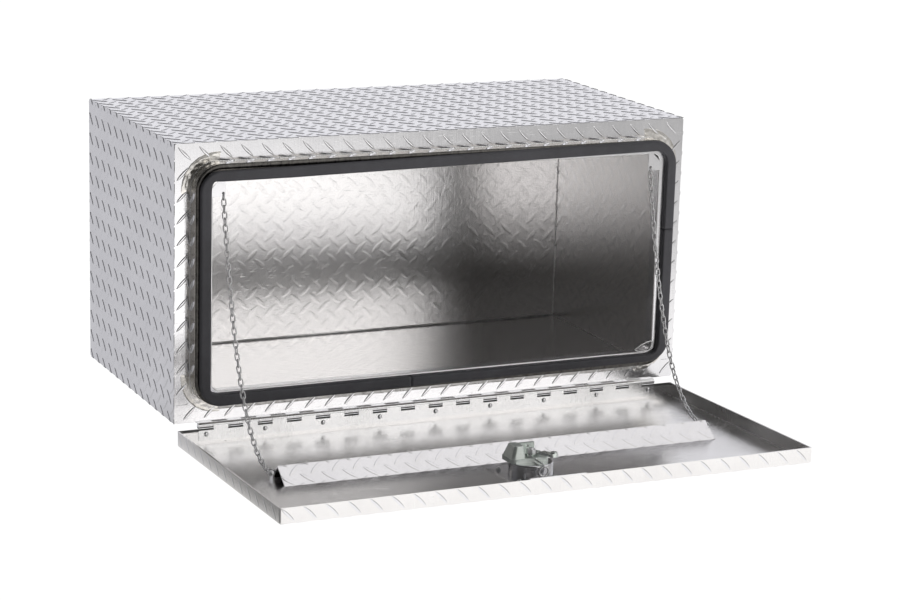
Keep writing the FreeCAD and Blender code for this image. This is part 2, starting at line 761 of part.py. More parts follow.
def hexagon(across_flats, height, bore, base):
    """A hexagonal nut standing on base, with a round bore."""
    radius = across_flats / math.sqrt(3)
    corners = [Vector(radius * math.cos(math.radians(60 * i)), radius * math.sin(math.radians(60 * i)), 0)
               for i in range(7)]
    prism = Part.Face(Part.makePolygon(corners)).extrude(Vector(0, 0, height))
    prism.translate(base)
    return prism.cut(Part.makeCylinder(bore, 3 * height, base - Vector(0, 0, height)))


def at_screws(shape):
    """Copies of a fastener shape at the dish's four screw holes."""
    reach = number("screw_offset")
    copies = []
    for across in (-reach, reach):
        for along in (-reach, reach):
            solid = shape.copy()
            solid.translate(Vector(across, number(SPINDLE_Y) + along, 0))
            copies.append(solid)
    return Part.makeCompound(copies)


def make_latch_fasteners():
    """Four pan-head screws from outside and their nuts on the backing plate."""
    outside = number(f"{SKIN} - gasket_gauge - dish_gauge")
    plate_top = number(f"{FLOOR} + plate_gauge")
    radius, head_radius, head_rise, nut_rise = number("screw_radius"), 3.8, 2.2, 3.2
    shank = Part.makeCylinder(radius, plate_top - outside + nut_rise + 1.5, Vector(0, 0, outside))
    head = Part.makeCylinder(head_radius, head_rise, Vector(0, 0, outside - head_rise))
    face = outside - head_rise
    rim = [edge for edge in head.Edges if edge.Length > head_radius and near(edge.CenterOfMass.z, face)]
    head = head.makeFillet(1.2, rim)
    screws = doc.addObject("Part::Feature", "latch_screws")
    screws.Shape = at_screws(head.fuse(shank))
    keep(screws, "latch_screws", door_placement())
    nuts = doc.addObject("Part::Feature", "latch_nuts")
    nuts.Shape = at_screws(hexagon(7, nut_rise, number("screw_hole"), Vector(0, 0, plate_top)))
    keep(nuts, "latch_nuts", door_placement())


def make_latch_case():
    """A cast case on the back of the dish: a deck that carries the spindle, a sloping hood over
    the left of it, and an upright stop with a hole behind the cam's hub."""
    body = new_body("latch_case")
    deck = new_sketch(body, "XY_Plane", f"{FLOOR} + dish_rise")
    rounded_rectangle(deck, "-deck_left", "deck_right", f"{SPINDLE_Y} - deck_front",
                      f"{SPINDLE_Y} + deck_back", "deck_round")
    pad(body, deck, "case_top - dish_rise")
    foot = new_sketch(body, "XY_Plane", f"{FLOOR} + case_top")
    rounded_rectangle(foot, "-(deck_left - 1)", "-hood_right", f"{SPINDLE_Y} - deck_front + 1",
                      f"{SPINDLE_Y} + deck_back - 1", "deck_round - 1")
    crown = new_sketch(body, "XY_Plane", f"{FLOOR} + hood_top")
    rounded_rectangle(crown, "-hood_top_left", "-(hood_right + 1)", f"{SPINDLE_Y} - hood_top_front",
                      f"{SPINDLE_Y} + hood_top_back", "deck_round - 2")
    hood = body.newObject("PartDesign::AdditiveLoft", "latch_case_hood")
    hood.Profile = foot
    hood.Sections = [crown]
    hood.Ruled = True
    doc.recompute()
    upright = new_sketch(body, "XY_Plane", f"{FLOOR} + case_top")
    rectangle(upright, "-(hood_right + 2)", "stop_right", f"{SPINDLE_Y} + stop_back - stop_gauge",
              f"{SPINDLE_Y} + stop_back")
    pad(body, upright, "stop_top - case_top")
    hole = new_sketch(body, "XZ_Plane", f"-({SPINDLE_Y} + stop_back + stop_gauge)")
    circle(hole, "stop_right / 4", f"{FLOOR} + stop_top - stop_gauge", "screw_radius")
    pocket(body, hole, "3 * stop_gauge")
    bore = new_sketch(body, "XY_Plane", FLOOR)
    circle(bore, "0", SPINDLE_Y, "spindle_bore")
    pocket(body, bore, "2 * case_top")
    crown_level = number(f"{FLOOR} + hood_top")
    fillet(body, "dish_round / 2", lambda edge, mid: near(mid.z, crown_level))
    keep(body, "latch_case", door_placement())


# ---------------------------------------------------------------- turning latch


def make_spindle():
    """A stepped shaft from the handle's boss through the dish and case to the cam's stud."""
    body = new_body("spindle")
    shaft = new_sketch(body, "XY_Plane", f"{FLOOR} + plug_length")
    circle(shaft, "0", SPINDLE_Y, "spindle_radius")
    pad(body, shaft, "cam_bottom - plug_length")
    stud = new_sketch(body, "XY_Plane", f"{FLOOR} + cam_bottom")
    circle(stud, "0", SPINDLE_Y, "cam_stud")
    pad(body, stud, "cam_gauge + 8.2")
    tip = number(f"{FLOOR} + cam_bottom + cam_gauge + 8.2")
    fillet(body, "cam_stud / 5", lambda edge, mid: near(mid.z, tip))
    keep(body, "spindle", latch_placement())


def make_t_handle():
    """A bar to grip inside the well, on a round boss that holds the lock plug and the spindle."""
    body = new_body("t_handle")
    face = f"({FLOOR} - 3)"
    bar = new_sketch(body, "XY_Plane", face)
    length, width = "handle_length / 2", "handle_width / 2"
    rounded_rectangle(bar, f"-{length}", length, f"{SPINDLE_Y} - {width}", f"{SPINDLE_Y} + {width}",
                      "handle_width / 2 - 0.5")
    pad(body, bar, "handle_width")
    bottom, top = number(face), number(f"{face} + handle_width")
    fillet(body, "handle_width / 5", lambda edge, mid: near(mid.z, bottom) or near(mid.z, top))
    boss = new_sketch(body, "XY_Plane", face)
    circle(boss, "0", SPINDLE_Y, "handle_boss")
    pad(body, boss, "dish_rise - dish_gauge + 3 - 0.6")
    plug = new_sketch(body, "XY_Plane", face)
    circle(plug, "0", SPINDLE_Y, "plug_bore")
    pocket(body, plug, "plug_length")
    socket = new_sketch(body, "XY_Plane", f"{FLOOR} + plug_length")
    circle(socket, "0", SPINDLE_Y, "spindle_radius")
    pocket(body, socket, "dish_rise")
    keep(body, "t_handle", latch_placement())


def make_lock_plug():
    """The keyed plug in the middle of the handle, with its key slot."""
    body = new_body("lock_plug")
    face = f"({FLOOR} - 3.4)"
    sketch = new_sketch(body, "XY_Plane", face)
    circle(sketch, "0", SPINDLE_Y, "plug_radius")
    pad(body, sketch, "plug_length")
    slot = new_sketch(body, "XY_Plane", f"{face} - 1")
    rectangle(slot, "-plug_radius * 0.6", "plug_radius * 0.6", f"{SPINDLE_Y} - 0.6", f"{SPINDLE_Y} + 0.6")
    pocket(body, slot, "plug_length * 0.7")
    keep(body, "lock_plug", latch_placement())


def make_washers():
    """A thin spring washer under the dish and a flat one between the case and the cam."""
    levels = (
        ("spring_washer", "dish_rise - dish_gauge - 0.55", "0.5", "cam_hub_radius"),
        ("cam_washer", "case_top + 0.05", "cam_bottom - case_top - 0.1", "cam_hub_radius - 1"),
    )
    for label, rise, thickness, radius in levels:
        body = new_body(label)
        sketch = new_sketch(body, "XY_Plane", f"{FLOOR} + {rise}")
        circle(sketch, "0", SPINDLE_Y, radius)
        circle(sketch, "0", SPINDLE_Y, "spindle_radius + 0.05")
        pad(body, sketch, thickness)
        keep(body, label, latch_placement())


def make_cam_lever():
    """A cranked lever: a low round hub, a sloping neck, and a raised arm that passes behind the keeper."""
    body = new_body("cam_lever")
    low, high = f"{FLOOR} + cam_bottom", f"{FLOOR} + cam_bottom + cam_crank"
    tip_y = f"{SPINDLE_Y} - cam_reach + cam_tip_radius"
    hub = new_sketch(body, "XY_Plane", low)
    circle(hub, "0", SPINDLE_Y, "cam_hub_radius")
    pad(body, hub, "cam_gauge")
    arm = new_sketch(body, "YZ_Plane")
    polygon(arm, [
        (SPINDLE_Y, low), (f"{SPINDLE_Y} - crank_start", low), (f"{SPINDLE_Y} - crank_end", high),
        (tip_y, high), (tip_y, f"{high} + cam_gauge"), (f"{SPINDLE_Y} - crank_end", f"{high} + cam_gauge"),
        (f"{SPINDLE_Y} - crank_start", f"{low} + cam_gauge"), (SPINDLE_Y, f"{low} + cam_gauge"),
    ])
    pad(body, arm, "2 * cam_tip_radius", symmetric=True)
    tip = new_sketch(body, "XY_Plane", high)
    circle(tip, "0", tip_y, "cam_tip_radius")
    pad(body, tip, "cam_gauge + cam_tip_rise")
    top = number(f"{high} + cam_gauge + cam_tip_rise")
    fillet(body, "cam_tip_radius / 3", lambda edge, mid: near(mid.z, top))
    bore = new_sketch(body, "XY_Plane", FLOOR)
    circle(bore, "0", SPINDLE_Y, "cam_stud")
    pocket(body, bore, "2 * cam_bottom")
    keep(body, "cam_lever", latch_placement())


def make_cam_nut():
    nut = doc.addObject("Part::Feature", "cam_nut")
    base = point("0", SPINDLE_Y, f"{FLOOR} + cam_bottom + cam_gauge")
    nut.Shape = hexagon(13, 6.0, number("cam_stud"), base)
    keep(nut, "cam_nut", latch_placement())


# ---------------------------------------------------------------- build, check and write

make_body_wrap()
make_end_panel("left_end_panel", "-body_width / 2")
make_end_panel("right_end_panel", "body_width / 2 - gauge")
make_front_frame()
make_door_jamb()
make_door_seal()
make_chain_bracket("chain_bracket_left", -1)
make_chain_bracket("chain_bracket_right", 1)
make_latch_keeper()
make_box_leaf()
make_door_leaf()
make_hinge_pin()
make_hinge_rivets()
make_door_pan()
make_door_stiffener()
make_chain_anchor("chain_anchor_left", -1)
make_chain_anchor("chain_anchor_right", 1)
make_chain("chain_left", -1)
make_chain("chain_right", 1)
make_latch_plate()
make_rim_clip()
make_latch_dish()
make_latch_gasket()
make_latch_fasteners()
make_latch_case()
make_spindle()
make_t_handle()
make_lock_plug()
make_washers()
make_cam_lever()
make_cam_nut()
doc.recompute()

for item in doc.Objects:
    if "Invalid" in item.State or "Error" in item.State:
        raise ValueError(f"{item.Label} failed to build: {item.State}")
for piece in pieces:
    if piece.Shape.isNull() or not piece.Shape.isValid():
        raise ValueError(f"{piece.Label} has no valid shape")

os.makedirs("parts", exist_ok=True)
for piece in pieces:
    piece.Shape.exportStep(f"parts/{piece.Label}.step")
    box = piece.Shape.BoundBox
    print(f"{piece.Label}: {len(piece.Shape.Solids)} solid(s), {piece.Shape.Volume:.0f} mm3, "
          f"z {box.ZMin:.2f} to {box.ZMax:.2f}, y {box.YMin:.2f} to {box.YMax:.2f}")
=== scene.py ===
import json
import math
import random

import bmesh
import bpy
from mathutils import Matrix, Vector, noise


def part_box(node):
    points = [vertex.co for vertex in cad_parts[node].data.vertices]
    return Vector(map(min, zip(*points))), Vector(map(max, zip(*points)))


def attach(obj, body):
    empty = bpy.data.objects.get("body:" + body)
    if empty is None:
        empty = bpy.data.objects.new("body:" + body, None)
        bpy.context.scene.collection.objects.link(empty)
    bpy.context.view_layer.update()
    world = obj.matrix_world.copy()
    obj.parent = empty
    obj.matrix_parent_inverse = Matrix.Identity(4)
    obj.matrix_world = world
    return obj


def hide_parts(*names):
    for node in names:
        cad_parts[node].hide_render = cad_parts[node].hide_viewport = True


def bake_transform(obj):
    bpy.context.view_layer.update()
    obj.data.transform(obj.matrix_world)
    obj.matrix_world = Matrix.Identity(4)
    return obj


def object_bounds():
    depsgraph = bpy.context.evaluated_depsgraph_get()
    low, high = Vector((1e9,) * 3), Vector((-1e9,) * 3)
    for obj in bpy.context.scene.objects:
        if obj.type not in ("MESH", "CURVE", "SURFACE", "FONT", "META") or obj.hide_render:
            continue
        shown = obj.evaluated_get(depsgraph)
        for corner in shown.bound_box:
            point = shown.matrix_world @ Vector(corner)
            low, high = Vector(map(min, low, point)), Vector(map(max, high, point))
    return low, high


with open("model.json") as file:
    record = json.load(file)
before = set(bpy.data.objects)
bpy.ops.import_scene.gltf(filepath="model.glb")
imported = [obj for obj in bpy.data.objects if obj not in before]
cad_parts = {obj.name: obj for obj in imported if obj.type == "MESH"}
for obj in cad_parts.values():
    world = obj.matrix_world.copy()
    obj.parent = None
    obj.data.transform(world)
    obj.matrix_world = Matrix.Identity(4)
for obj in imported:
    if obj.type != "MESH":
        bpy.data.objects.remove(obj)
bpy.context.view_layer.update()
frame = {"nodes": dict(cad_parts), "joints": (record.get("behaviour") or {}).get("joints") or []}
NODES = frame["nodes"]
MM = 0.001

# ------------------------------------------------------------------ sizes shared with the solids
GAUGE = 2.5 * MM
OPENING_HALF_W, OPENING_HALF_H, OPENING_ROUND = 403.0 * MM, 174.9 * MM, 15.5 * MM
JAMB_ROUND = 43.5 * MM
SEAL_HALF_W, SEAL_HALF_H = 425.5 * MM, 192.4 * MM
DOOR_W, DOOR_RIM = 908.0 * MM, 25.4 * MM
DOOR_NEAR, DOOR_FAR = 0.65 * MM, 458.65 * MM
FLOOR_DROP = 28.3 * MM
SPINDLE = 363.0 * MM
STIFFENER_LENGTH, STIFFENER_RISE = 756.0 * MM, 24.0 * MM
STIFFENER_BACK, STIFFENER_APEX, STIFFENER_FRONT = 227.0 * MM, 251.0 * MM, 285.0 * MM
CHAIN_SIDE = 384.0 * MM
TAB_HOLE_RISE = 5.5 * MM
EAR_OUT, EAR_HOLE_RISE = 243.0 * MM, 9.5 * MM
LINK_PITCH, LINK_COUNT = 10.2 * MM, 48
LINK_INNER_LENGTH, LINK_INNER_WIDTH = 10.6 * MM, 4.4 * MM

# ------------------------------------------------------------------ frame of the tilted door
door_hinge = next(joint for joint in frame["joints"] if joint["name"] == "door_hinge")
latch_turn = next(joint for joint in frame["joints"] if joint["name"] == "latch_turn")
PIN = Vector(door_hinge["pos_m"])
TILT = math.atan2(latch_turn["axis"][1], latch_turn["axis"][2])
DOOR = Matrix.Translation(PIN) @ Matrix.Rotation(-TILT, 4, "X")


def on_door(x, out, up):
    """A point by its distance along the hinge, out from the pin, and above the door's floor."""
    return DOOR @ Vector((x, -out, up - FLOOR_DROP))


# ------------------------------------------------------------------ node helpers


class Nodes:
    """A short way to write node trees."""

    def __init__(self, tree):
        self.tree = tree
        tree.nodes.clear()

    def add(self, kind, values=None, **settings):
        node = self.tree.nodes.new(kind)
        for key, value in settings.items():
            setattr(node, key, value)
        for key, value in (values or {}).items():
            self.put(node.inputs[key], value)
        return node

    def put(self, socket, value):
        if isinstance(value, bpy.types.NodeSocket):
            self.tree.links.new(value, socket)
        else:
            socket.default_value = value

    def math(self, operation, a, b=0.0, clamp=False):
        node = self.add("ShaderNodeMath", {0: a, 1: b}, operation=operation)
        node.use_clamp = clamp
        return node.outputs[0]

    def noise(self, vector, scale, detail=4.0, rough=0.55, distortion=0.0):
        values = {
            "Vector": vector, "Scale": scale, "Detail": detail, "Roughness": rough, "Distortion": distortion,
        }
        return self.add("ShaderNodeTexNoise", values).outputs["Fac"]

    def span(self, value, low, high, to_low=0.0, to_high=1.0):
        values = {"Value": value, "From Min": low, "From Max": high, "To Min": to_low, "To Max": to_high}
        return self.add("ShaderNodeMapRange", values).outputs["Result"]

    def eased(self, value, low, high, to_low, to_high):
        """The same as span, with a soft start and end."""
        values = {"Value": value, "From Min": low, "From Max": high, "To Min": to_low, "To Max": to_high}
        return self.add("ShaderNodeMapRange", values, interpolation_type="SMOOTHSTEP").outputs["Result"]

    def colours(self, fac, *stops):
        ramp = self.add("ShaderNodeValToRGB", {"Fac": fac})
        elements = ramp.color_ramp.elements
        while len(elements) < len(stops):
            elements.new(0.5)
        for element, (position, colour) in zip(elements, stops):
            element.position = position
            element.color = (*colour, 1.0)
        return ramp.outputs["Color"]

    def mixed(self, share, a, b):
        """Colour a where share is 0, colour b where it is 1."""
        node = self.add("ShaderNodeMix", data_type="RGBA")
        for index, value in ((0, share), (6, a), (7, b)):
            self.put(node.inputs[index], value)
        return node.outputs[2]

    def above(self, value, level, softness=0.0004):
        """1 where the value is over the level, 0 under it."""
        return self.span(value, level - softness, level + softness)

    def parts(self, output):
        """The x, y and z of the object's own coordinates or normals."""
        vector = self.add("ShaderNodeTexCoord").outputs[output]
        return self.add("ShaderNodeSeparateXYZ", {0: vector}).outputs

    def stretched(self, scale, rotation=(0, 0, 0)):
        place = self.add("ShaderNodeTexCoord").outputs["Object"]
        values = {"Vector": place, "Scale": scale, "Rotation": rotation}
        return self.add("ShaderNodeMapping", values).outputs["Vector"]

    def bump(self, height, strength, distance):
        values = {"Height": height, "Strength": strength, "Distance": distance}
        return self.add("ShaderNodeBump", values).outputs["Normal"]


def metal(name, dark, light, rough, grain=(900, 900, 30), grain_strength=0.5, mottling=9.0, scratches=0.5,
          area=None, area_colour=(0.5, 0.5, 0.5), area_rough=0.5):
    """Metal with rolled grain, drifting tone, cloudy gloss and fine scratches.

    area gives the share of a second finish, such as painted shade in a gap, from place and facing.
    """
    material = bpy.data.materials.new(name)
    material.use_nodes = True
    n = Nodes(material.node_tree)
    place = n.add("ShaderNodeTexCoord").outputs["Object"]
    cloud = n.noise(place, mottling, 5.0, 0.6, 0.4)
    lines = n.noise(n.stretched(grain), 1.0, 3.0, 0.6)
    specks = n.noise(place, 420.0, 2.0, 0.7)
    scratch = n.noise(n.stretched((60, 2600, 700), (0.0, 0.3, 0.5)), 1.0, 2.0, 0.5)
    scratch = n.span(scratch, 0.66, 0.72)
    tone = n.math("ADD", n.math("MULTIPLY", cloud, 0.6), n.math("MULTIPLY", lines, 0.4))
    colour = n.colours(tone, (0.3, dark), (0.7, light))
    gloss = n.math("ADD", n.span(cloud, 0.3, 0.7, rough[0], rough[1]), n.span(lines, 0.3, 0.7, -0.03, 0.03))
    gloss = n.math("ADD", gloss, n.math("MULTIPLY", scratch, 0.12 * scratches), clamp=True)
    if area:
        share = area(n, n.parts("Object"), n.parts("Normal"))
        # share of the second finish; in some materials this is painted shade mixed into the colour
        finish_and_painted_shade = n.math("MULTIPLY", share, n.span(n.noise(place, 60.0, 4.0), 0.2, 0.5, 0.75, 1.0))
        colour = n.mixed(finish_and_painted_shade, colour, (*area_colour, 1.0))
        gloss = n.span(share, 0.0, 1.0, gloss, area_rough)
    relief = n.math("ADD", lines, n.math("MULTIPLY", specks, 0.3))
    relief = n.math("SUBTRACT", relief, n.math("MULTIPLY", scratch, 0.5 * scratches))
    normal = n.bump(relief, grain_strength, 0.0002)
    shader = n.add("ShaderNodeBsdfPrincipled", {
        "Base Color": colour, "Roughness": gloss, "Metallic": 1.0, "Normal": normal,
    })
    n.add("ShaderNodeOutputMaterial", {"Surface": shader.outputs[0]})
    return material


def rubber(name, dark, light):
    """Foam rubber: matt, faintly dusty, with small pores."""
    material = bpy.data.materials.new(name)
    material.use_nodes = True
    n = Nodes(material.node_tree)
    place = n.add("ShaderNodeTexCoord").outputs["Object"]
    dust = n.noise(place, 14.0, 6.0, 0.65)
    pore = n.noise(place, 900.0, 3.0, 0.6)
    colour = n.colours(n.math("ADD", n.math("MULTIPLY", dust, 0.7), n.math("MULTIPLY", pore, 0.3)),
                       (0.35, dark), (0.65, light))
    shader = n.add("ShaderNodeBsdfPrincipled", {
        "Base Color": colour, "Roughness": n.span(dust, 0.3, 0.7, 0.55, 0.75),
        "Normal": n.bump(pore, 0.35, 0.0003),
    })
    n.add("ShaderNodeOutputMaterial", {"Surface": shader.outputs[0]})
    return material


def wrap_inside(n, place, facing):
    """The inner faces of the wrapped sheet."""
    upper = n.above(place["Z"], MIDDLE)
    under = n.math("MULTIPLY", n.above(facing["Z"], 0.5, 0.1), n.math("SUBTRACT", 1.0, upper))
    over = n.math("MULTIPLY", n.above(n.math("MULTIPLY", facing["Z"], -1.0), 0.5, 0.1), upper)
    rear = n.above(n.math("MULTIPLY", facing["Y"], -1.0), 0.5, 0.1)
    return n.math("MAXIMUM", rear, n.math("MAXIMUM", under, over))


def end_inside(n, place, facing):
    """The inner face of an end panel."""
    return n.above(n.math("MULTIPLY", n.math("MULTIPLY", facing["X"], place["X"]), -1.0), 0.2, 0.05)


def frame_back(n, place, facing):
    """The side of the front frame that faces into the box."""
    return n.above(facing["Y"], 0.5, 0.1)


def jamb_sides(n, place, facing):
    """The jamb's outer walls and the outer part of its face, painted darker and browner: painted shade."""
    across = n.above(n.math("ABSOLUTE", place["X"]), SHADE_HALF_W, 0.001)
    height = n.above(n.math("ABSOLUTE", n.math("SUBTRACT", place["Z"], MIDDLE)), SHADE_HALF_H, 0.001)
    return n.math("MAXIMUM", across, height)


def shade_under_knuckles(n, place, facing):
    """Painted shade on the undersides of the knuckles."""
    return n.math("SUBTRACT", 1.0, n.above(place["Z"], PIN.z - 2.0 * MM, 0.0003))


def shadow_behind_slots(n, place, facing):
    """Painted shadow on the rim behind the hinge's slots."""
    return n.math("MULTIPLY", n.above(place["Z"], PIN.z - 9.5 * MM), n.above(place["Y"], PIN.y - 3.6 * MM))


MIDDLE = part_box("body_wrap")[1].z / 2
# where the painted shade on the jamb's face begins, from the middle
SHADE_HALF_W, SHADE_HALF_H = 418.5 * MM, 185.0 * MM
FINE, EVEN = (900, 60, 60), (300, 300, 300)
SHEET = (0.82, 0.82, 0.84), (0.94, 0.94, 0.955)
TREAD = metal("tread_sheet", *SHEET, (0.11, 0.19))
WRAP = metal("wrap_sheet", *SHEET, (0.11, 0.19),
             area=wrap_inside, area_colour=(0.93, 0.92, 0.92), area_rough=0.19)
END = metal("end_sheet", *SHEET, (0.11, 0.19),
            area=end_inside, area_colour=(0.93, 0.91, 0.90), area_rough=0.22)
FRAME = metal("frame_sheet", *SHEET, (0.11, 0.19),
              area=frame_back, area_colour=(0.9, 0.9, 0.9), area_rough=0.5)
# the jamb's area_colour is painted shade on its outer walls and the outer edge of its face
JAMB = metal("jamb_sheet", *SHEET, (0.10, 0.18),
             area=jamb_sides, area_colour=(0.55, 0.52, 0.48), area_rough=0.22)
INSIDE = metal("sheet_inside", (0.88, 0.87, 0.87), (0.95, 0.94, 0.94), (0.16, 0.22))
PLAIN = metal("plain_sheet", *SHEET, (0.14, 0.24))
# the near-black area_colour is a painted shadow on the rim behind the hinge's slots
PAN = metal("pan_sheet", (0.86, 0.85, 0.85), (0.98, 0.975, 0.97), (0.18, 0.28),
            area=shadow_behind_slots, area_colour=(0.03, 0.028, 0.025), area_rough=0.7)
WELD = metal("weld_bead", (0.78, 0.78, 0.78), (0.95, 0.95, 0.95), (0.22, 0.40), mottling=160.0, grain=EVEN)
DRESSED = metal("dressed_weld", (0.66, 0.63, 0.58), (0.95, 0.94, 0.92), (0.12, 0.26),
                mottling=70.0, grain=EVEN)
HINGE = metal("hinge_sheet", (0.82, 0.82, 0.83), (0.96, 0.96, 0.96), (0.18, 0.30), grain=FINE)
# the dark area_colour paints shade on the knuckles' undersides
KNUCKLES = metal("hinge_knuckles", (0.74, 0.74, 0.75), (0.90, 0.90, 0.91), (0.18, 0.30), grain=FINE,
                 area=shade_under_knuckles, area_colour=(0.12, 0.115, 0.11), area_rough=0.7)
ZINC = metal("bright_zinc", (0.90, 0.90, 0.91), (0.98, 0.98, 0.98), (0.30, 0.46),
             mottling=120.0, grain_strength=0.12)
PALE_ZINC = metal("pale_zinc", (0.66, 0.72, 0.68), (0.90, 0.94, 0.91), (0.16, 0.30),
                  mottling=90.0, grain_strength=0.15)
GREEN_ZINC = metal("olive_zinc", (0.70, 0.77, 0.72), (0.92, 0.97, 0.93), (0.38, 0.52),
                   mottling=70.0, grain_strength=0.18)
STAINLESS = metal("polished_steel", (0.62, 0.62, 0.63), (0.76, 0.76, 0.77), (0.10, 0.22),
                  mottling=40.0, grain_strength=0.1)
SEAL = rubber("seal_foam", (0.075, 0.075, 0.083), (0.130, 0.130, 0.145))
STIFFENER = metal("stiffener_sheet", (0.72, 0.71, 0.71), (0.88, 0.87, 0.87), (0.14, 0.24))
# a near-black finish for a strip of the jamb's face along the foam's outer edge
DARK_STRIP = metal("dark_strip_sheet", (0.05, 0.048, 0.045), (0.26, 0.25, 0.235), (0.26, 0.46), mottling=130.0)
LIP = metal("folded_lip", (0.90, 0.90, 0.90), (0.98, 0.98, 0.98), (0.34, 0.48), mottling=60.0)
# darker grey than the sheet: painted shade under the jamb's foot, on a dull ground finish
GROUND_AND_SHADE = metal("ground_band_painted_shade", (0.34, 0.33, 0.32), (0.74, 0.73, 0.72), (0.24, 0.42),
               mottling=140.0, grain=EVEN)
GASKET = rubber("gasket_rubber", (0.03, 0.03, 0.03), (0.06, 0.06, 0.06))


# ------------------------------------------------------------------ mesh helpers


class Mesh:
    """Collects vertices and faces, then becomes one piece."""

    def __init__(self):
        self.points = []
        self.faces = []

    def add(self, points, faces, matrix=None):
        base = len(self.points)
        self.points += [matrix @ p if matrix else p for p in points]
        self.faces += [[base + i for i in face] for face in faces]

    def piece(self, name, material, body=None, slot=None, smooth=True):
        data = bpy.data.meshes.new(name)
        data.from_pydata([tuple(p) for p in self.points], [], self.faces)
        data.validate()
        bm = bmesh.new()
        bm.from_mesh(data)
        bmesh.ops.recalc_face_normals(bm, faces=bm.faces)
        bm.to_mesh(data)
        bm.free()
        data.polygons.foreach_set("use_smooth", [smooth] * len(data.polygons))
        data.materials.append(material)
        piece = bpy.data.objects.new(name, data)
        bpy.context.scene.collection.objects.link(piece)
        if body:
            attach(piece, body)
        return piece


def plane(origin, along, up):
    """A matrix from a panel's own (u, v, outward) to the shared frame."""
    along, up = Vector(along).normalized(), Vector(up).normalized()
    out = along.cross(up)
    matrix = Matrix((along, up, out)).transposed().to_4x4()
    matrix.translation = Vector(origin)
    return matrix


def tube(points, radius, sides=8, closed=False, up=Vector((0, 0, 1))):
    """Rings of vertices swept along points; radius may be a list, one per point."""
    count = len(points)
    radii = radius if isinstance(radius, list) else [radius] * count
    verts, faces = [], []
    for i, point in enumerate(points):
        ahead = points[(i + 1) % count] if closed or i + 1 < count else point
        behind = points[i - 1] if closed or i > 0 else point
        tangent = (ahead - behind).normalized()
        side = tangent.cross(up)
        if side.length < 1e-4:
            side = tangent.cross(Vector((1, 0, 0)))
        side.normalize()
        over = side.cross(tangent)
        for k in range(sides):
            a = 2 * math.pi * k / sides
            verts.append(point + radii[i] * (math.cos(a) * side + math.sin(a) * over))
    for i in range(count if closed else count - 1):
        j = (i + 1) % count
        for k in range(sides):
            m = (k + 1) % sides
            faces.append([i * sides + k, i * sides + m, j * sides + m, j * sides + k])
    if not closed:
        faces.append(list(range(sides)))
        faces.append([(count - 1) * sides + k for k in reversed(range(sides))])
    return verts, faces


# ------------------------------------------------------------------ raised tread bars
PITCH = 35.0 * MM
# the rings of a bar, from its foot to its crest, each by its share of the bar's width and of its rise
BAR_RINGS = ((1.0, -0.06), (0.86, 0.30), (0.62, 0.82), (0.32, 1.0))


def bar_shape(length, width, rise):
    """One lens-shaped bar along +u: rings of a pointed outline that rise to a rounded crest."""
    around = 14
    points, faces = [], []
    for share, height in BAR_RINGS:
        for k in range(around):
            a = 2 * math.pi * k / around
            u = math.cos(a)
            v = math.copysign(abs(math.sin(a)) ** 1.25, math.sin(a))
            inset = (1 - share) * width / 2
            reach = u * max(length / 2 - 1.6 * inset, 0)
            points.append(Vector((reach, v * (width / 2) * share, rise * height)))
    for ring in range(len(BAR_RINGS) - 1):
        for k in range(around):
            m = (k + 1) % around
            lower, upper = ring * around, (ring + 1) * around
            faces.append([lower + k, lower + m, upper + m, upper + k])
    faces.append([(len(BAR_RINGS) - 1) * around + k for k in range(around)])
    return points, faces


# the two directions of bars: where they sit between the rows, as a share of the pitch, and their angle
RISING, FALLING = (0.5, 45), (0.0, -45)


def tread(mesh, panel, width, height, rise=0.75 * MM, phase=(0.0, 0.0), keep=None, turns=(RISING, FALLING),
          bar_length=30.0 * MM, bar_width=5.4 * MM):
    """Fills a panel of the given size with bars in two crossing directions."""
    points, faces = bar_shape(bar_length, bar_width, rise)
    reach = 0.3 * bar_length
    for i in range(-1, int(width / PITCH) + 2):
        for j in range(-1, int(height / PITCH) + 2):
            for half, angle in turns:
                u = (i + half) * PITCH + phase[0]
                v = (j + half) * PITCH + phase[1]
                if not (-reach < u < width + reach and -reach < v < height + reach):
                    continue
                if keep and not keep(u, v):
                    continue
                turn = Matrix.Rotation(math.radians(angle), 4, "Z")
                bar = []
                for p in points:
                    q = turn @ p
                    bar.append(Vector((min(max(q.x + u, 0.0), width), min(max(q.y + v, 0.0), height), q.z)))
                mesh.add(bar, faces, panel)


# ------------------------------------------------------------------ outside of the body
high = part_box("body_wrap")[1]
left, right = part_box("left_end_panel")[0].x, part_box("right_end_panel")[1].x
front, back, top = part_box("front_frame")[0].y, high.y, high.z
jamb_low, jamb_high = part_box("door_jamb")
INSET = 5.0 * MM
WIDTH, DEPTH, HEIGHT = right - left, back - front, top

wrap = Mesh()
tread(wrap, plane((left, front, top), (1, 0, 0), (0, 1, 0)), WIDTH, DEPTH - INSET, phase=(0.011, 0.009))
tread(wrap, plane((right, back, INSET), (-1, 0, 0), (0, 0, 1)), WIDTH, HEIGHT - 2 * INSET)
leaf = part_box("hinge_leaf_box")[1].y
tread(wrap, plane((left, back - INSET, 0), (1, 0, 0), (0, -1, 0)), WIDTH, back - INSET - leaf - 2 * MM)
wrap.piece("tread_bars_wrap", TREAD, "box", "tread_aluminium")

ends = Mesh()
END_BARS = {"rise": 0.95 * MM, "phase": (0.006, 0.004), "bar_width": 6.4 * MM}
tread(ends, plane((left, back - INSET, 0), (0, -1, 0), (0, 0, 1)), DEPTH - INSET, HEIGHT, **END_BARS)
tread(ends, plane((right, front, 0), (0, 1, 0), (0, 0, 1)), DEPTH - INSET, HEIGHT, **END_BARS)
ends.piece("tread_bars_ends", TREAD, "box", "tread_aluminium")


def band(mesh, x0, x1, z0, z1, phase, turns):
    """One strip of the front band."""
    tread(mesh, plane((x0, front, z0), (1, 0, 0), (0, 0, 1)), x1 - x0, z1 - z0, phase=phase, turns=turns)


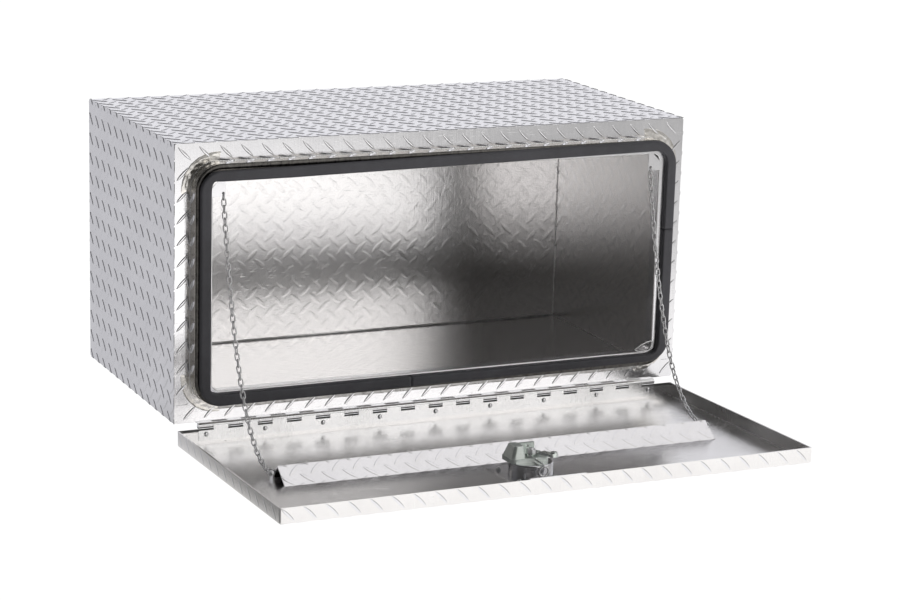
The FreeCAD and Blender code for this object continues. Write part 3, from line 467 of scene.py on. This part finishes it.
front_bars = Mesh()
EDGE, ROUND_EDGE = 1 * MM, 4 * MM
band_left, band_right = left + ROUND_EDGE, right - ROUND_EDGE
band(front_bars, band_left, band_right, jamb_high.z + EDGE, top - EDGE, (0.012, 0.014), (FALLING,))
band(front_bars, band_left, band_right, EDGE, jamb_low.z - EDGE, (0.004, -0.002), (RISING,))
band(front_bars, left + EDGE, jamb_low.x - EDGE, jamb_low.z, jamb_high.z, (-0.005, 0.010), (RISING,))
band(front_bars, jamb_high.x + EDGE, right - EDGE, jamb_low.z, jamb_high.z, (-0.005, 0.010), (RISING,))
front_bars.piece("tread_bars_front", TREAD, "box", "tread_aluminium")

# the jamb is folded from the same sheet, so its four outer sides carry a row of bars
jamb_bars = Mesh()
JAMB_DEPTH = jamb_high.y - jamb_low.y
JAMB_BARS = {"rise": 1.9 * MM, "turns": (RISING,), "bar_width": 9.0 * MM}
span_x = jamb_high.x - jamb_low.x - 2 * JAMB_ROUND
span_z = jamb_high.z - jamb_low.z - 2 * JAMB_ROUND
for origin, up in (((jamb_low.x + JAMB_ROUND, jamb_low.y, jamb_high.z), (0, 1, 0)),
                   ((jamb_low.x + JAMB_ROUND, jamb_high.y, jamb_low.z), (0, -1, 0))):
    tread(jamb_bars, plane(origin, (1, 0, 0), up), span_x, JAMB_DEPTH, phase=(0.0, -0.006), **JAMB_BARS)
for origin, along in (((jamb_low.x, jamb_high.y, jamb_low.z + JAMB_ROUND), (0, -1, 0)),
                      ((jamb_high.x, jamb_low.y, jamb_low.z + JAMB_ROUND), (0, 1, 0))):
    tread(jamb_bars, plane(origin, along, (0, 0, 1)), JAMB_DEPTH, span_z, phase=(-0.006, 0.0), **JAMB_BARS)
jamb_bars.piece("tread_bars_jamb", TREAD, "box", "jamb_aluminium")

# the bars print through faintly on the inside of the sheets
inner = Mesh()
SOFT = {"rise": 0.06 * MM, "bar_length": 33.0 * MM, "bar_width": 10.0 * MM}
in_left, in_right, in_front, in_back = left + GAUGE, right - GAUGE, front + GAUGE, back - GAUGE
in_top = top - GAUGE
in_width, in_depth, in_height = WIDTH - 2 * GAUGE, DEPTH - 2 * GAUGE, HEIGHT - 2 * GAUGE
tread(inner, plane((in_left, in_back, GAUGE), (1, 0, 0), (0, 0, 1)), in_width, in_height, **SOFT)
tread(inner, plane((in_left, in_front, GAUGE), (1, 0, 0), (0, 1, 0)), in_width, in_depth, **SOFT)
tread(inner, plane((in_left, in_back, in_top), (1, 0, 0), (0, -1, 0)), in_width, in_depth, **SOFT)
tread(inner, plane((in_left, in_front, GAUGE), (0, 1, 0), (0, 0, 1)), in_depth, in_height, **SOFT)
tread(inner, plane((in_right, in_back, GAUGE), (0, -1, 0), (0, 0, 1)), in_depth, in_height, **SOFT)
inner.piece("inside_bumps", INSIDE, "box", "tread_aluminium")


# ------------------------------------------------------------------ weld beads
chance = random.Random(7)
RIPPLE = 3.2 * MM
INSIDE_BEAD, DOOR_BEAD, FOOT_BEAD = 1.3 * MM, 1.5 * MM, 1.5 * MM


def bead(mesh, start, end, radius):
    """A run of overlapping weld ripples between two points."""
    start, end = Vector(start), Vector(end)
    length = (end - start).length
    steps = max(int(length / (RIPPLE / 4)), 4)
    points, radii = [], []
    for i in range(steps + 1):
        along = i / steps
        wave = (along * length / RIPPLE) % 1.0
        points.append(start.lerp(end, along))
        radii.append(radius * (0.78 + 0.24 * wave + chance.uniform(-0.04, 0.04)))
    mesh.add(*tube(points, radii, 7))


welds = Mesh()
for x in (in_left, in_right):
    bead(welds, (x, in_back, GAUGE), (x, in_back, in_top), INSIDE_BEAD)
    bead(welds, (x, in_front, GAUGE), (x, in_back, GAUGE), INSIDE_BEAD)
    bead(welds, (x, in_front, in_top), (x, in_back, in_top), INSIDE_BEAD)
welds.piece("weld_inside", WELD, "box", "jamb_aluminium")

# the wrapped sheet's two bends at the back, seen from inside
bends = Mesh()
BEND = 3.5 * MM
for z, up in ((GAUGE, 1), (in_top, -1)):
    corner = Vector((0, in_back, z))
    outline = [corner]
    for i in range(9):
        a = math.radians(90 * i / 8)
        outline.append(corner + BEND * Vector((0, -1 + math.sin(a), up * (1 - math.cos(a)))))
    caps = [[Vector((x, p.y, p.z)) for p in outline] for x in (in_left, in_right)]
    size = len(outline)
    sides = [[k, (k + 1) % size, size + (k + 1) % size, size + k] for k in range(size)]
    bends.add(caps[0] + caps[1], sides + [list(range(size)), list(range(size, 2 * size))])
bends.piece("inside_bends", LIP, "box", "tread_aluminium")


def rounded_path(x0, x1, z0, z1, radius, y, step):
    """Points round a rounded rectangle in a plane parallel to the front."""
    path = []

    def run(a, b):
        count = max(int((b - a).length / step), 1)
        path.extend(a.lerp(b, i / count) for i in range(count))

    corners = [(x1 - radius, z0 + radius, -90), (x1 - radius, z1 - radius, 0),
               (x0 + radius, z1 - radius, 90), (x0 + radius, z0 + radius, 180)]
    arcs = []
    for cx, cz, a0 in corners:
        arc = []
        count = max(int(radius * math.pi / 2 / (step * 0.5)), 5)
        for i in range(count + 1):
            a = math.radians(a0 + 90 * i / count)
            arc.append(Vector((cx + radius * math.cos(a), y, cz + radius * math.sin(a))))
        arcs.append(arc)
    for i, arc in enumerate(arcs):
        path.extend(arc[:-1])
        run(arc[-1], arcs[(i + 1) % 4][0])
    return path


# along the foot of the door's two side rims, inside
door_welds = Mesh()
BEAD_IN, BEAD_UP, BEAD_START, BEAD_END = 2.6 * MM, 0.4 * MM, 4 * MM, 454 * MM
for side in (-1, 1):
    x = side * (DOOR_W / 2 - BEAD_IN)
    bead(door_welds, on_door(x, BEAD_START, BEAD_UP), on_door(x, BEAD_END, BEAD_UP), DOOR_BEAD)
door_welds.piece("weld_door_corners", WELD, "door", "tread_aluminium")

# where the jamb stands on the front band
jamb_weld = Mesh()
path = rounded_path(jamb_low.x, jamb_high.x, jamb_low.z, jamb_high.z, JAMB_ROUND, front, 1.0 * MM)
radii = [FOOT_BEAD * (0.8 + 0.3 * ((i % 4) / 4) + chance.uniform(-0.05, 0.05)) for i in range(len(path))]
jamb_weld.add(*tube(path, radii, 6, closed=True, up=Vector((0, 1, 0))))
jamb_weld.piece("weld_jamb_foot", WELD, "box", "jamb_aluminium")

# the fold round the opening's edge
lip = Mesh()
LIP_RADIUS, LIP_BACK = 1.7 * MM, 2.2 * MM
lip_path = rounded_path(-OPENING_HALF_W, OPENING_HALF_W, MIDDLE - OPENING_HALF_H, MIDDLE + OPENING_HALF_H,
                        OPENING_ROUND, jamb_low.y + LIP_BACK, 4 * MM)
lip.add(*tube(lip_path, LIP_RADIUS, closed=True, up=Vector((0, 1, 0))))
lip.piece("jamb_lip", LIP, "box", "jamb_aluminium")

# the band under the jamb's foot is ground back after welding, which leaves it dull and uneven; its darker
# grey colour is painted shade under the jamb
foot = Mesh()
FOOT_HALF, FOOT_DROP, LONG, DEEP = 392.0 * MM, 13.0 * MM, 392, 8


def grid_faces(rows, columns):
    """The faces of a grid of points that has one more point than cells each way."""
    wide = columns + 1
    return [[i * wide + k, i * wide + k + 1, (i + 1) * wide + k + 1, (i + 1) * wide + k]
            for i in range(rows) for k in range(columns)]


grid = []
for i in range(LONG + 1):
    for k in range(DEEP + 1):
        spot = Vector((-FOOT_HALF + 2 * FOOT_HALF * i / LONG, front, jamb_low.z - FOOT_DROP * k / DEEP))
        lump = noise.noise(spot * 90.0) + 0.6 * noise.noise(spot * 260.0)
        edge = min(i, LONG - i, k, DEEP - k)
        spot.y -= ((0.45 + 0.5 * lump) if edge else -0.4) * MM
        grid.append(spot)
foot.add(grid, grid_faces(LONG, DEEP))
foot.piece("ground_strip_painted_shade", GROUND_AND_SHADE, "box", "jamb_aluminium")

# the jamb's corners are pieced, welded and beaten smooth, which leaves an uneven bright skin
dressing = Mesh()
BAND_REACH = 17.0 * MM
AROUND, DOWN = 30, 22
EARLY, SWEEP = 9, 108
SUNK = -0.4 * MM
for number, (cx, cz, start_angle) in enumerate((
    (jamb_high.x - JAMB_ROUND, jamb_low.z + JAMB_ROUND, -90),
    (jamb_high.x - JAMB_ROUND, jamb_high.z - JAMB_ROUND, 0),
    (jamb_low.x + JAMB_ROUND, jamb_high.z - JAMB_ROUND, 90),
    (jamb_low.x + JAMB_ROUND, jamb_low.z + JAMB_ROUND, 180),
)):
    grid = []
    for i in range(AROUND + 1):
        a = math.radians(start_angle - EARLY + SWEEP * i / AROUND)
        outward = Vector((math.cos(a), 0, math.sin(a)))
        for k in range(DOWN + 1):
            run = k / DOWN * (JAMB_DEPTH - 2 * MM + BAND_REACH) + 2 * MM
            fold = max(run - JAMB_DEPTH, 0.0)
            inward = min(run, JAMB_DEPTH)
            lump = noise.noise(Vector((a * 9.0, run * 260.0, number * 7.3))) + 0.5 * noise.noise(
                Vector((a * 22.0, run * 640.0, number * 3.1)))
            edge = min(i, AROUND - i, k, DOWN - k)
            lift = (0.55 + 0.75 * lump) * MM * min(edge / 3, 1.0) if edge else SUNK
            lift = max(lift, SUNK)
            spot = Vector((cx, jamb_low.y + inward, cz)) + outward * (JAMB_ROUND + fold)
            away = outward if fold == 0.0 else Vector((0, -1, 0))
            if abs(run - JAMB_DEPTH) < 1.5 * MM:
                away = (outward + Vector((0, -1, 0))).normalized()
            grid.append(spot + away * lift)
    dressing.add(grid, grid_faces(AROUND, DOWN))
dressing.piece("jamb_corner_dressing", DRESSED, "box", "jamb_aluminium")

# ------------------------------------------------------------------ door seal
seal_mesh = Mesh()
seal_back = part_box("door_seal")[1].y
# the strip's cross section in millimetres, across from its centre line and out from the jamb
SEAL_INNER, SEAL_OUTER = 10.0, 14.3
SEAL_SECTION = (
    (-SEAL_INNER, 0.0), (-SEAL_INNER, 4.0), (-9.7, 7.4), (-8.8, 9.2), (-6.5, 9.9), (-2.5, 9.75),
    (5.5, 9.75), (10.5, 9.9), (13.0, 9.2), (14.0, 7.4), (SEAL_OUTER, 4.0), (SEAL_OUTER, 0.0),
)
SEAL_ARC = 28.0
INNER_ARC = 8.0
HALF_BAND = 10.0 * MM
centre = rounded_path(-SEAL_HALF_W + HALF_BAND, SEAL_HALF_W - HALF_BAND, MIDDLE - SEAL_HALF_H + HALF_BAND,
                      MIDDLE + SEAL_HALF_H - HALF_BAND, SEAL_ARC * MM, seal_back, 5 * MM)
BOTTOM_JOINT, SIDE_JOINT, JOINT_GAP = -53.5 * MM, 272.0 * MM, 0.5 * MM


def inner_edge(outward):
    """How far inside its centre line the foam ends: it folds to a tight corner on its inner side."""
    across, up = abs(outward.x), abs(outward.z)
    straight = SEAL_ARC - SEAL_INNER
    reach = straight / max(across, up)
    square = straight - INNER_ARC
    if min(across, up) * reach > square:
        total = square * (across + up)
        reach = total + math.sqrt(max(total * total - 2 * square ** 2 + INNER_ARC ** 2, 0.0))
    return reach - SEAL_ARC


def seal_edges(point, outward):
    """How far the foam reaches inward and outward there, in mm: it was stuck on by hand, a little askew."""
    if outward.x < 0:
        side_in, side_out = 9.8, 8.7
    else:
        side_in, side_out = 4.4 - 0.006 * (point.z / MM - 228.0), SEAL_OUTER
    if outward.z < 0:
        flat_in, flat_out = 5.2, 10.8 - 0.009 * point.x / MM
    else:
        flat_in, flat_out = 8.5 - 0.0138 * point.x / MM, 9.5 + 0.0138 * point.x / MM
    share = outward.x * outward.x
    inward = min(side_in * share + flat_in * (1 - share), 12.3)
    return inward, min(side_out * share + flat_out * (1 - share), SEAL_OUTER)


def seal_strip(points, seed):
    """A strip of foam with a soft double-crowned face; its edges wander a little."""
    drift = random.Random(seed)
    rings, faces = [], []
    count = len(points)
    wobble = [drift.uniform(-0.25, 0.25) * MM for _ in range(count // 8 + 3)]
    for i, point in enumerate(points):
        ahead = points[min(i + 1, count - 1)]
        behind = points[max(i - 1, 0)]
        tangent = (ahead - behind).normalized()
        outward = Vector((tangent.z, 0, -tangent.x))
        k, part = divmod(i / 8, 1)
        sway = wobble[int(k)] * (1 - part) + wobble[int(k) + 1] * part
        inward, outreach = seal_edges(point, outward)
        for across, rise in SEAL_SECTION:
            inner = -inner_edge(outward) / SEAL_INNER * inward / SEAL_INNER
            across *= inner if across < 0 else outreach / SEAL_OUTER
            lift = rise * MM
            if rise > 5:
                lift -= 0.1 * MM + abs(sway) * 0.5
            rings.append(point + outward * (across * MM * 0.995 + sway * 0.25) + Vector((0, -lift, 0)))
    size = len(SEAL_SECTION)
    for i in range(count - 1):
        for k in range(size):
            m = (k + 1) % size
            faces.append([i * size + k, i * size + m, (i + 1) * size + m, (i + 1) * size + k])
    faces.append(list(range(size)))
    faces.append([(count - 1) * size + k for k in reversed(range(size))])
    seal_mesh.add(rings, faces)


def nearest(points, spot):
    """The index of the point that is nearest to a spot."""
    return min(range(len(points)), key=lambda i: (points[i] - spot).length)


# two lengths of foam meet at a joint in the bottom run and one in the right run
start = nearest(centre, Vector((BOTTOM_JOINT, seal_back, MIDDLE - SEAL_HALF_H)))
loop = centre[start:] + centre[:start]
cut = nearest(loop, Vector((SEAL_HALF_W, seal_back, SIDE_JOINT)))
first = loop[:cut + 1]
second = loop[cut:] + [loop[0]]
first[0] = first[0] + Vector((JOINT_GAP, 0, 0))
first[-1] = first[-1] - Vector((0, 0, JOINT_GAP))
second[0] = second[0] + Vector((0, 0, JOINT_GAP))
second[-1] = second[-1] - Vector((JOINT_GAP, 0, 0))
seal_strip(first, 3)
seal_strip(second, 5)
seal = seal_mesh.piece("foam_seal", SEAL, "box", "seal_rubber")
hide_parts("door_seal")

# a dark strip on the jamb's face along the outside of the foam
jamb_dark_strip = Mesh()
STRIP_NEAR, STRIP_FAR, STRIP_SUNK, STRIP_PROUD = 6.0 * MM, 15.2 * MM, -0.2 * MM, 0.25 * MM
strip_points = []
for i, point in enumerate(centre):
    tangent = (centre[(i + 1) % len(centre)] - centre[i - 1]).normalized()
    outward = Vector((tangent.z, 0, -tangent.x))
    spot = Vector((point.x, jamb_low.y, point.z))
    for reach, lift in ((STRIP_NEAR, STRIP_SUNK), (STRIP_NEAR, STRIP_PROUD), (STRIP_FAR, STRIP_PROUD),
                        (STRIP_FAR, STRIP_SUNK)):
        strip_points.append(spot + outward * reach + Vector((0, -lift, 0)))
strip_faces = []
for i in range(len(centre)):
    this, following = i * 4, (i + 1) % len(centre) * 4
    strip_faces += [[this + k, this + (k + 1) % 4, following + (k + 1) % 4, following + k] for k in range(4)]
jamb_dark_strip.add(strip_points, strip_faces)
jamb_dark_strip.piece("jamb_face_dark_strip", DARK_STRIP, "box", "jamb_aluminium")

# ------------------------------------------------------------------ door bars
DOOR_SKIN = -GAUGE
BAR_INSET = 3.0 * MM
SKIN_INSET = 4.0 * MM
RIM_TRIM = 4.0 * MM
RIM_RUN = 452.0 * MM
LATCH_CLEAR = 53.0 * MM
RIM_BARS = {"phase": (0.01, 0.011), "turns": (FALLING,)}
door_bars = Mesh()


def door_plane(x, out, up, along, upward):
    """A panel's matrix from a corner and two directions in the door's own axes."""
    corner = Matrix.Translation(Vector((x, -out, up - FLOOR_DROP)))
    along, upward = Vector(along), Vector(upward)
    turn = Matrix((along, upward, along.cross(upward))).transposed().to_4x4()
    return DOOR @ corner @ turn


def clear_of_latch(u, v):
    """Whether a bar's middle is away from the latch's flange; u and v are on the door's skin."""
    across = abs(u - DOOR_W / 2 + BAR_INSET)
    return across > LATCH_CLEAR or abs(v + DOOR_NEAR + SKIN_INSET - SPINDLE) > LATCH_CLEAR


rim_foot, rim_height = DOOR_SKIN + BAR_INSET, DOOR_RIM - RIM_TRIM
skin_corner = -DOOR_W / 2 + BAR_INSET, DOOR_NEAR + SKIN_INSET, DOOR_SKIN
tread(door_bars, door_plane(*skin_corner, (1, 0, 0), (0, -1, 0)),
      DOOR_W - 2 * BAR_INSET, DOOR_FAR - DOOR_NEAR - 2 * SKIN_INSET, keep=clear_of_latch)
tread(door_bars, door_plane(-DOOR_W / 2 + BAR_INSET, DOOR_FAR, rim_foot, (1, 0, 0), (0, 0, 1)),
      DOOR_W - 2 * BAR_INSET, rim_height, 0.6 * MM, **RIM_BARS)
tread(door_bars, door_plane(-DOOR_W / 2, DOOR_NEAR + BAR_INSET, rim_foot, (0, -1, 0), (0, 0, 1)),
      RIM_RUN, rim_height, 0.3 * MM, **RIM_BARS)
tread(door_bars, door_plane(DOOR_W / 2, DOOR_FAR - BAR_INSET, rim_foot, (0, 1, 0), (0, 0, 1)),
      RIM_RUN, rim_height, 0.5 * MM, **RIM_BARS)
door_bars.piece("tread_bars_door", TREAD, "door", "tread_aluminium")

stiff = Mesh()
for foot_out, direction in ((STIFFENER_FRONT, 1), (STIFFENER_BACK, -1)):
    slope = Vector((0, foot_out - STIFFENER_APEX, STIFFENER_RISE)).normalized()
    length = math.hypot(foot_out - STIFFENER_APEX, STIFFENER_RISE)
    side = door_plane(-direction * STIFFENER_LENGTH / 2, foot_out, 0.0, (direction, 0, 0), slope)
    tread(stiff, side, STIFFENER_LENGTH, length - 1.0 * MM, 0.28 * MM, (0.006, 0.012), bar_width=6.5 * MM)
stiff.piece("tread_bars_stiffener", STIFFENER, "door", "tread_aluminium")

# ------------------------------------------------------------------ chains
LINK_WIRE = 1.12 * MM


def link_mesh(rng):
    """A stadium-shaped wire link with its small butt weld, its long axis along X."""
    bend = LINK_INNER_WIDTH / 2 + LINK_WIRE
    straight = (LINK_INNER_LENGTH - LINK_INNER_WIDTH) / 2
    path = []
    for side in (1, -1):
        for i in range(9):
            a = math.radians(-90 + 180 * i / 8)
            path.append(Vector((side * (straight + bend * math.cos(a)), side * bend * math.sin(a), 0)))
    radii = [LINK_WIRE] * len(path)
    weld = rng.choice((0, 9))
    radii[weld] = LINK_WIRE * 1.18
    return tube(path, radii, 8, closed=True)


def hanging(top_point, end_point, length):
    """The curve of a chain of that length hanging between two points."""
    span, fall = abs(end_point.y - top_point.y), top_point.z - end_point.z
    target = math.sqrt(length * length - fall * fall)
    small, large = span / 20, span * 20
    for _ in range(80):
        scale = (small + large) / 2
        if 2 * scale * math.sinh(span / (2 * scale)) > target:
            small = scale
        else:
            large = scale
    lowest = span / 2 + scale * math.atanh(fall / length)
    begin = scale * math.sinh(-lowest / scale)

    def at(s):
        along = lowest + scale * math.asinh((begin + s) / scale)
        height = scale * (math.cosh((along - lowest) / scale) - math.cosh(lowest / scale))
        slope = math.sinh((along - lowest) / scale)
        spot = Vector((top_point.x, top_point.y - along, top_point.z + height))
        return spot, Vector((0, -1, slope)).normalized()

    return at


def chain(name, node, side):
    """A check chain from a jamb tab to a door anchor, with small random twists in its links."""
    rng = random.Random(name)
    x = side * CHAIN_SIDE
    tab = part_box("chain_bracket_right")
    top_point = Vector((x, (tab[0].y + tab[1].y) / 2, tab[0].z + TAB_HOLE_RISE))
    end_point = on_door(x, EAR_OUT, EAR_HOLE_RISE)
    at = hanging(top_point, end_point, LINK_PITCH * LINK_COUNT)
    mesh = Mesh()
    for i in range(LINK_COUNT):
        spot, tangent = at((i + 0.5) * LINK_PITCH)
        sideways = Vector((1, 0, 0))
        normal = sideways if i % 2 == 0 else sideways.cross(tangent)
        end_link = i in (0, 1, LINK_COUNT - 2, LINK_COUNT - 1)
        twist = 0.0 if end_link else rng.uniform(-0.16, 0.16)
        normal = Matrix.Rotation(twist, 3, tangent) @ normal
        other = normal.cross(tangent)
        turn = Matrix((tangent, other, normal)).transposed().to_4x4()
        turn.translation = spot
        verts, faces = link_mesh(rng)
        mesh.add(verts, faces, turn)
    made = mesh.piece(name, ZINC, None, "zinc_chain")
    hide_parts(node)
    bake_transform(made)


def ring(mesh, centre, axis, radius, wire, squash=1.0):
    """A closed wire ring; squash below 1 makes it oval."""
    axis = Vector(axis).normalized()
    first = axis.orthogonal().normalized()
    second = axis.cross(first)
    path = [centre + radius * (math.cos(a) * first + squash * math.sin(a) * second)
            for a in (2 * math.pi * i / 24 for i in range(24))]
    mesh.add(*tube(path, wire, 8, closed=True, up=axis))


chain("check_chain_left", "chain_left", -1)
chain("check_chain_right", "chain_right", 1)

# a ring joins each chain to its door anchor
JOINING_RADIUS, JOINING_WIRE, JOINING_UP = 5.2 * MM, 1.15 * MM, 12.0 * MM
JOINING_AXIS = DOOR.to_3x3() @ Vector((0.25, 1, 0.1))
for name, side in (("chain_ring_left", -1), ("chain_ring_right", 1)):
    joining = Mesh()
    middle = on_door(side * CHAIN_SIDE, EAR_OUT, JOINING_UP)
    ring(joining, middle, JOINING_AXIS, JOINING_RADIUS, JOINING_WIRE)
    joining.piece(name, ZINC, "door", "zinc_chain")

# a wire ring that hangs from the latch's deck, to free the latch from inside
release = Mesh()
RELEASE_X, RELEASE_OUT, RELEASE_UP = 3.0 * MM, 402.6 * MM, 15.6 * MM
RELEASE_RADIUS, RELEASE_WIRE, STEM_WIRE = 8.0 * MM, 1.3 * MM, 1.2 * MM
ring(release, on_door(RELEASE_X, RELEASE_OUT, RELEASE_UP), DOOR.to_3x3() @ Vector((0.12, 1, -0.12)),
     RELEASE_RADIUS, RELEASE_WIRE, squash=0.85)
stem = ((402.6, 22.6), (401.5, 25.4), (397, 26.6), (374, 27))
release.add(*tube([on_door(RELEASE_X, out * MM, up * MM) for out, up in stem], STEM_WIRE))
release.piece("release_ring", ZINC, "door", "zinc_steel")

# a bent wire loop that stands in the lower right corner, just inside the opening
loop_mesh = Mesh()
LOOP_Y = -256.0 * MM
LOOP_WIRE = 1.1 * MM
LOOP = (
    (402, 73), (397, 74.5), (390, 73), (380, 69.5), (371, 64), (367, 61),
    (371, 58.6), (380, 57), (388, 57.4), (396, 59), (401, 62), (402, 67),
)
loop_points = [Vector((x * MM, LOOP_Y, z * MM)) for x, z in LOOP]
loop_mesh.add(*tube(loop_points, LOOP_WIRE, closed=True, up=Vector((0, 1, 0))))
loop_mesh.piece("wire_loop", ZINC, "box", "zinc_steel")

# ------------------------------------------------------------------ finish on the CAD nodes
FINISH = {
    "body_wrap": WRAP, "left_end_panel": END, "right_end_panel": END, "front_frame": FRAME,
    "door_jamb": JAMB, "chain_bracket_left": PLAIN, "chain_bracket_right": PLAIN, "latch_keeper": ZINC,
    "hinge_leaf_box": KNUCKLES, "hinge_leaf_door": HINGE, "hinge_pin": ZINC, "hinge_rivets_box": PLAIN,
    "hinge_rivets_door": PLAIN, "door_pan": PAN, "door_stiffener": STIFFENER, "chain_anchor_left": ZINC,
    "chain_anchor_right": ZINC, "latch_plate": PLAIN, "rim_clip": PLAIN, "latch_dish": STAINLESS,
    "latch_gasket": GASKET, "latch_case": GREEN_ZINC, "latch_screws": ZINC, "latch_nuts": ZINC,
    "spindle": ZINC, "t_handle": STAINLESS, "cam_lever": PALE_ZINC, "spring_washer": ZINC,
    "cam_washer": ZINC, "cam_nut": ZINC, "lock_plug": STAINLESS,
}
# the width of each node's softened edges, in millimetres
BEVEL = {
    "front_frame": 0.5, "door_jamb": 0.8, "door_pan": 0.5, "door_stiffener": 0.8, "latch_plate": 0.4,
    "rim_clip": 0.5, "latch_case": 0.5, "cam_lever": 0.4, "cam_nut": 0.5, "latch_nuts": 0.3,
    "hinge_leaf_box": 0.25, "hinge_leaf_door": 0.25, "chain_anchor_left": 0.4, "chain_anchor_right": 0.4,
    "chain_bracket_left": 0.4, "chain_bracket_right": 0.4, "latch_dish": 0.3, "t_handle": 0.4,
    "body_wrap": 0.4, "left_end_panel": 0.4, "right_end_panel": 0.4,
}
for name, material in FINISH.items():
    node = NODES[name]
    node.data.materials.clear()
    node.data.materials.append(material)
for name, width in BEVEL.items():
    bevel = NODES[name].modifiers.new("edge", "BEVEL")
    bevel.width = width * MM
    bevel.segments = 2
    bevel.limit_method = "ANGLE"
    bevel.angle_limit = math.radians(50)
    bevel.harden_normals = True
    bevel.use_clamp_overlap = True

# ------------------------------------------------------------------ stage, light and camera
floor_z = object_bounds()[0].z - 1 * MM
floor_mesh = Mesh()
FLOOR_HALF = 30.0
corners = ((-1, -1), (1, -1), (1, 1), (-1, 1))
floor_mesh.add([Vector((x * FLOOR_HALF, y * FLOOR_HALF, floor_z)) for x, y in corners], [[0, 1, 2, 3]])
pale = bpy.data.materials.new("pale_floor")
pale.use_nodes = True
n = Nodes(pale.node_tree)
SEEN_WHITE = {"Color": (1, 1, 1, 1), "Strength": 1.05}
seen = n.add("ShaderNodeEmission", SEEN_WHITE)
place = n.parts("Object")

# bright in front of the box, dimmer far off to the right and to the left, grey behind
sideways = n.math("MULTIPLY", n.eased(place["X"], -0.50, -0.43, 0.20, 1.0),
                  n.eased(place["X"], 0.78, 0.98, 1.0, 0.50))
in_front = n.eased(place["Y"], -2.6, -1.7, 0.95, 1.40)
in_front = n.math("MULTIPLY", in_front, n.eased(place["Y"], -1.00, -0.86, 1.0, 0.72))
behind = n.eased(place["Y"], -0.50, 0.10, 0.0, 1.0)
light = n.math("MULTIPLY", n.math("MULTIPLY", sideways, in_front), n.math("SUBTRACT", 1.0, behind))
light = n.math("ADD", light, n.math("MULTIPLY", 0.60, behind))
tint = n.mixed(behind, (1.0, 0.985, 0.975, 1), (0.965, 0.96, 1.0, 1))
lit = n.add("ShaderNodeEmission", {"Color": tint, "Strength": light})
ray = n.add("ShaderNodeLightPath").outputs["Is Camera Ray"]
mix = n.add("ShaderNodeMixShader", {0: ray, 1: lit.outputs[0], 2: seen.outputs[0]})
n.add("ShaderNodeOutputMaterial", {"Surface": mix.outputs[0]})
floor = floor_mesh.piece("floor", pale, smooth=False)

world = bpy.data.worlds.new("studio")
bpy.context.scene.world = world
world.use_nodes = True
n = Nodes(world.node_tree)
direction = n.add("ShaderNodeTexCoord").outputs["Generated"]


def patch(towards, core, edge, strength):
    """Light from round one direction: full inside the core angle, none past the edge angle."""
    pair = {0: direction, 1: Vector(towards).normalized()}
    facing = n.add("ShaderNodeVectorMath", pair, operation="DOT_PRODUCT").outputs["Value"]
    return n.eased(facing, math.cos(math.radians(edge)), math.cos(math.radians(core)), 0.0, strength)


axes = n.parts("Generated")

# a bright low sweep behind, dark above it and to the left
sweep = n.math("MULTIPLY", n.eased(axes["Z"], 0.28, 0.46, 0.84, 0.14),
               n.eased(axes["Y"], -0.10, 0.45, 0.0, 1.0))
sweep = n.math("MULTIPLY", sweep, n.eased(axes["X"], -0.75, -0.40, 0.12, 1.0))
glow = n.math("ADD", sweep, 0.06)
glow = n.math("ADD", glow, patch((0.55, 0.00, 0.85), 16, 38, 0.90))
glow = n.math("ADD", glow, patch((0.95, -0.30, 0.15), 14, 36, 0.40))
softbox = n.math("MULTIPLY", patch((0.43, -0.86, 0.28), 12, 26, 1.0),
                 n.eased(axes["Z"], 0.238, 0.262, 0.36, 1.55))
glow = n.math("ADD", glow, softbox)
back_seen = n.add("ShaderNodeBackground", SEEN_WHITE)
tint = n.mixed(n.eased(axes["Y"], -0.3, 0.3, 0.0, 1.0), (1.0, 0.985, 0.97, 1), (0.965, 0.96, 1.0, 1))
back_lit = n.add("ShaderNodeBackground", {"Color": tint, "Strength": glow})
ray = n.add("ShaderNodeLightPath").outputs["Is Camera Ray"]
mix = n.add("ShaderNodeMixShader", {0: ray, 1: back_lit.outputs[0], 2: back_seen.outputs[0]})
n.add("ShaderNodeOutputWorld", {"Surface": mix.outputs[0]})

scene = bpy.context.scene
scene.view_settings.view_transform = "Standard"
scene.view_settings.look = "None"

camera_data = bpy.data.cameras.new("camera")
camera_data.sensor_width = 36.0
camera_data.lens = 103.424
camera_data.clip_end = 200.0
camera = bpy.data.objects.new("camera", camera_data)
scene.collection.objects.link(camera)
EYE = Vector((-1.7488, -4.0297, 1.1813))
yaw, pitch, roll = math.radians(25.026), math.radians(-13.565), math.radians(1.596)
view = Vector((math.sin(yaw) * math.cos(pitch), math.cos(yaw) * math.cos(pitch), math.sin(pitch)))
level = Vector((math.cos(yaw), -math.sin(yaw), 0))
upright = level.cross(view)
across = math.cos(roll) * level + math.sin(roll) * upright
above = -math.sin(roll) * level + math.cos(roll) * upright
aim = Matrix((across, above, -view)).transposed().to_4x4()
aim.translation = EYE
camera.matrix_world = aim
scene.camera = camera
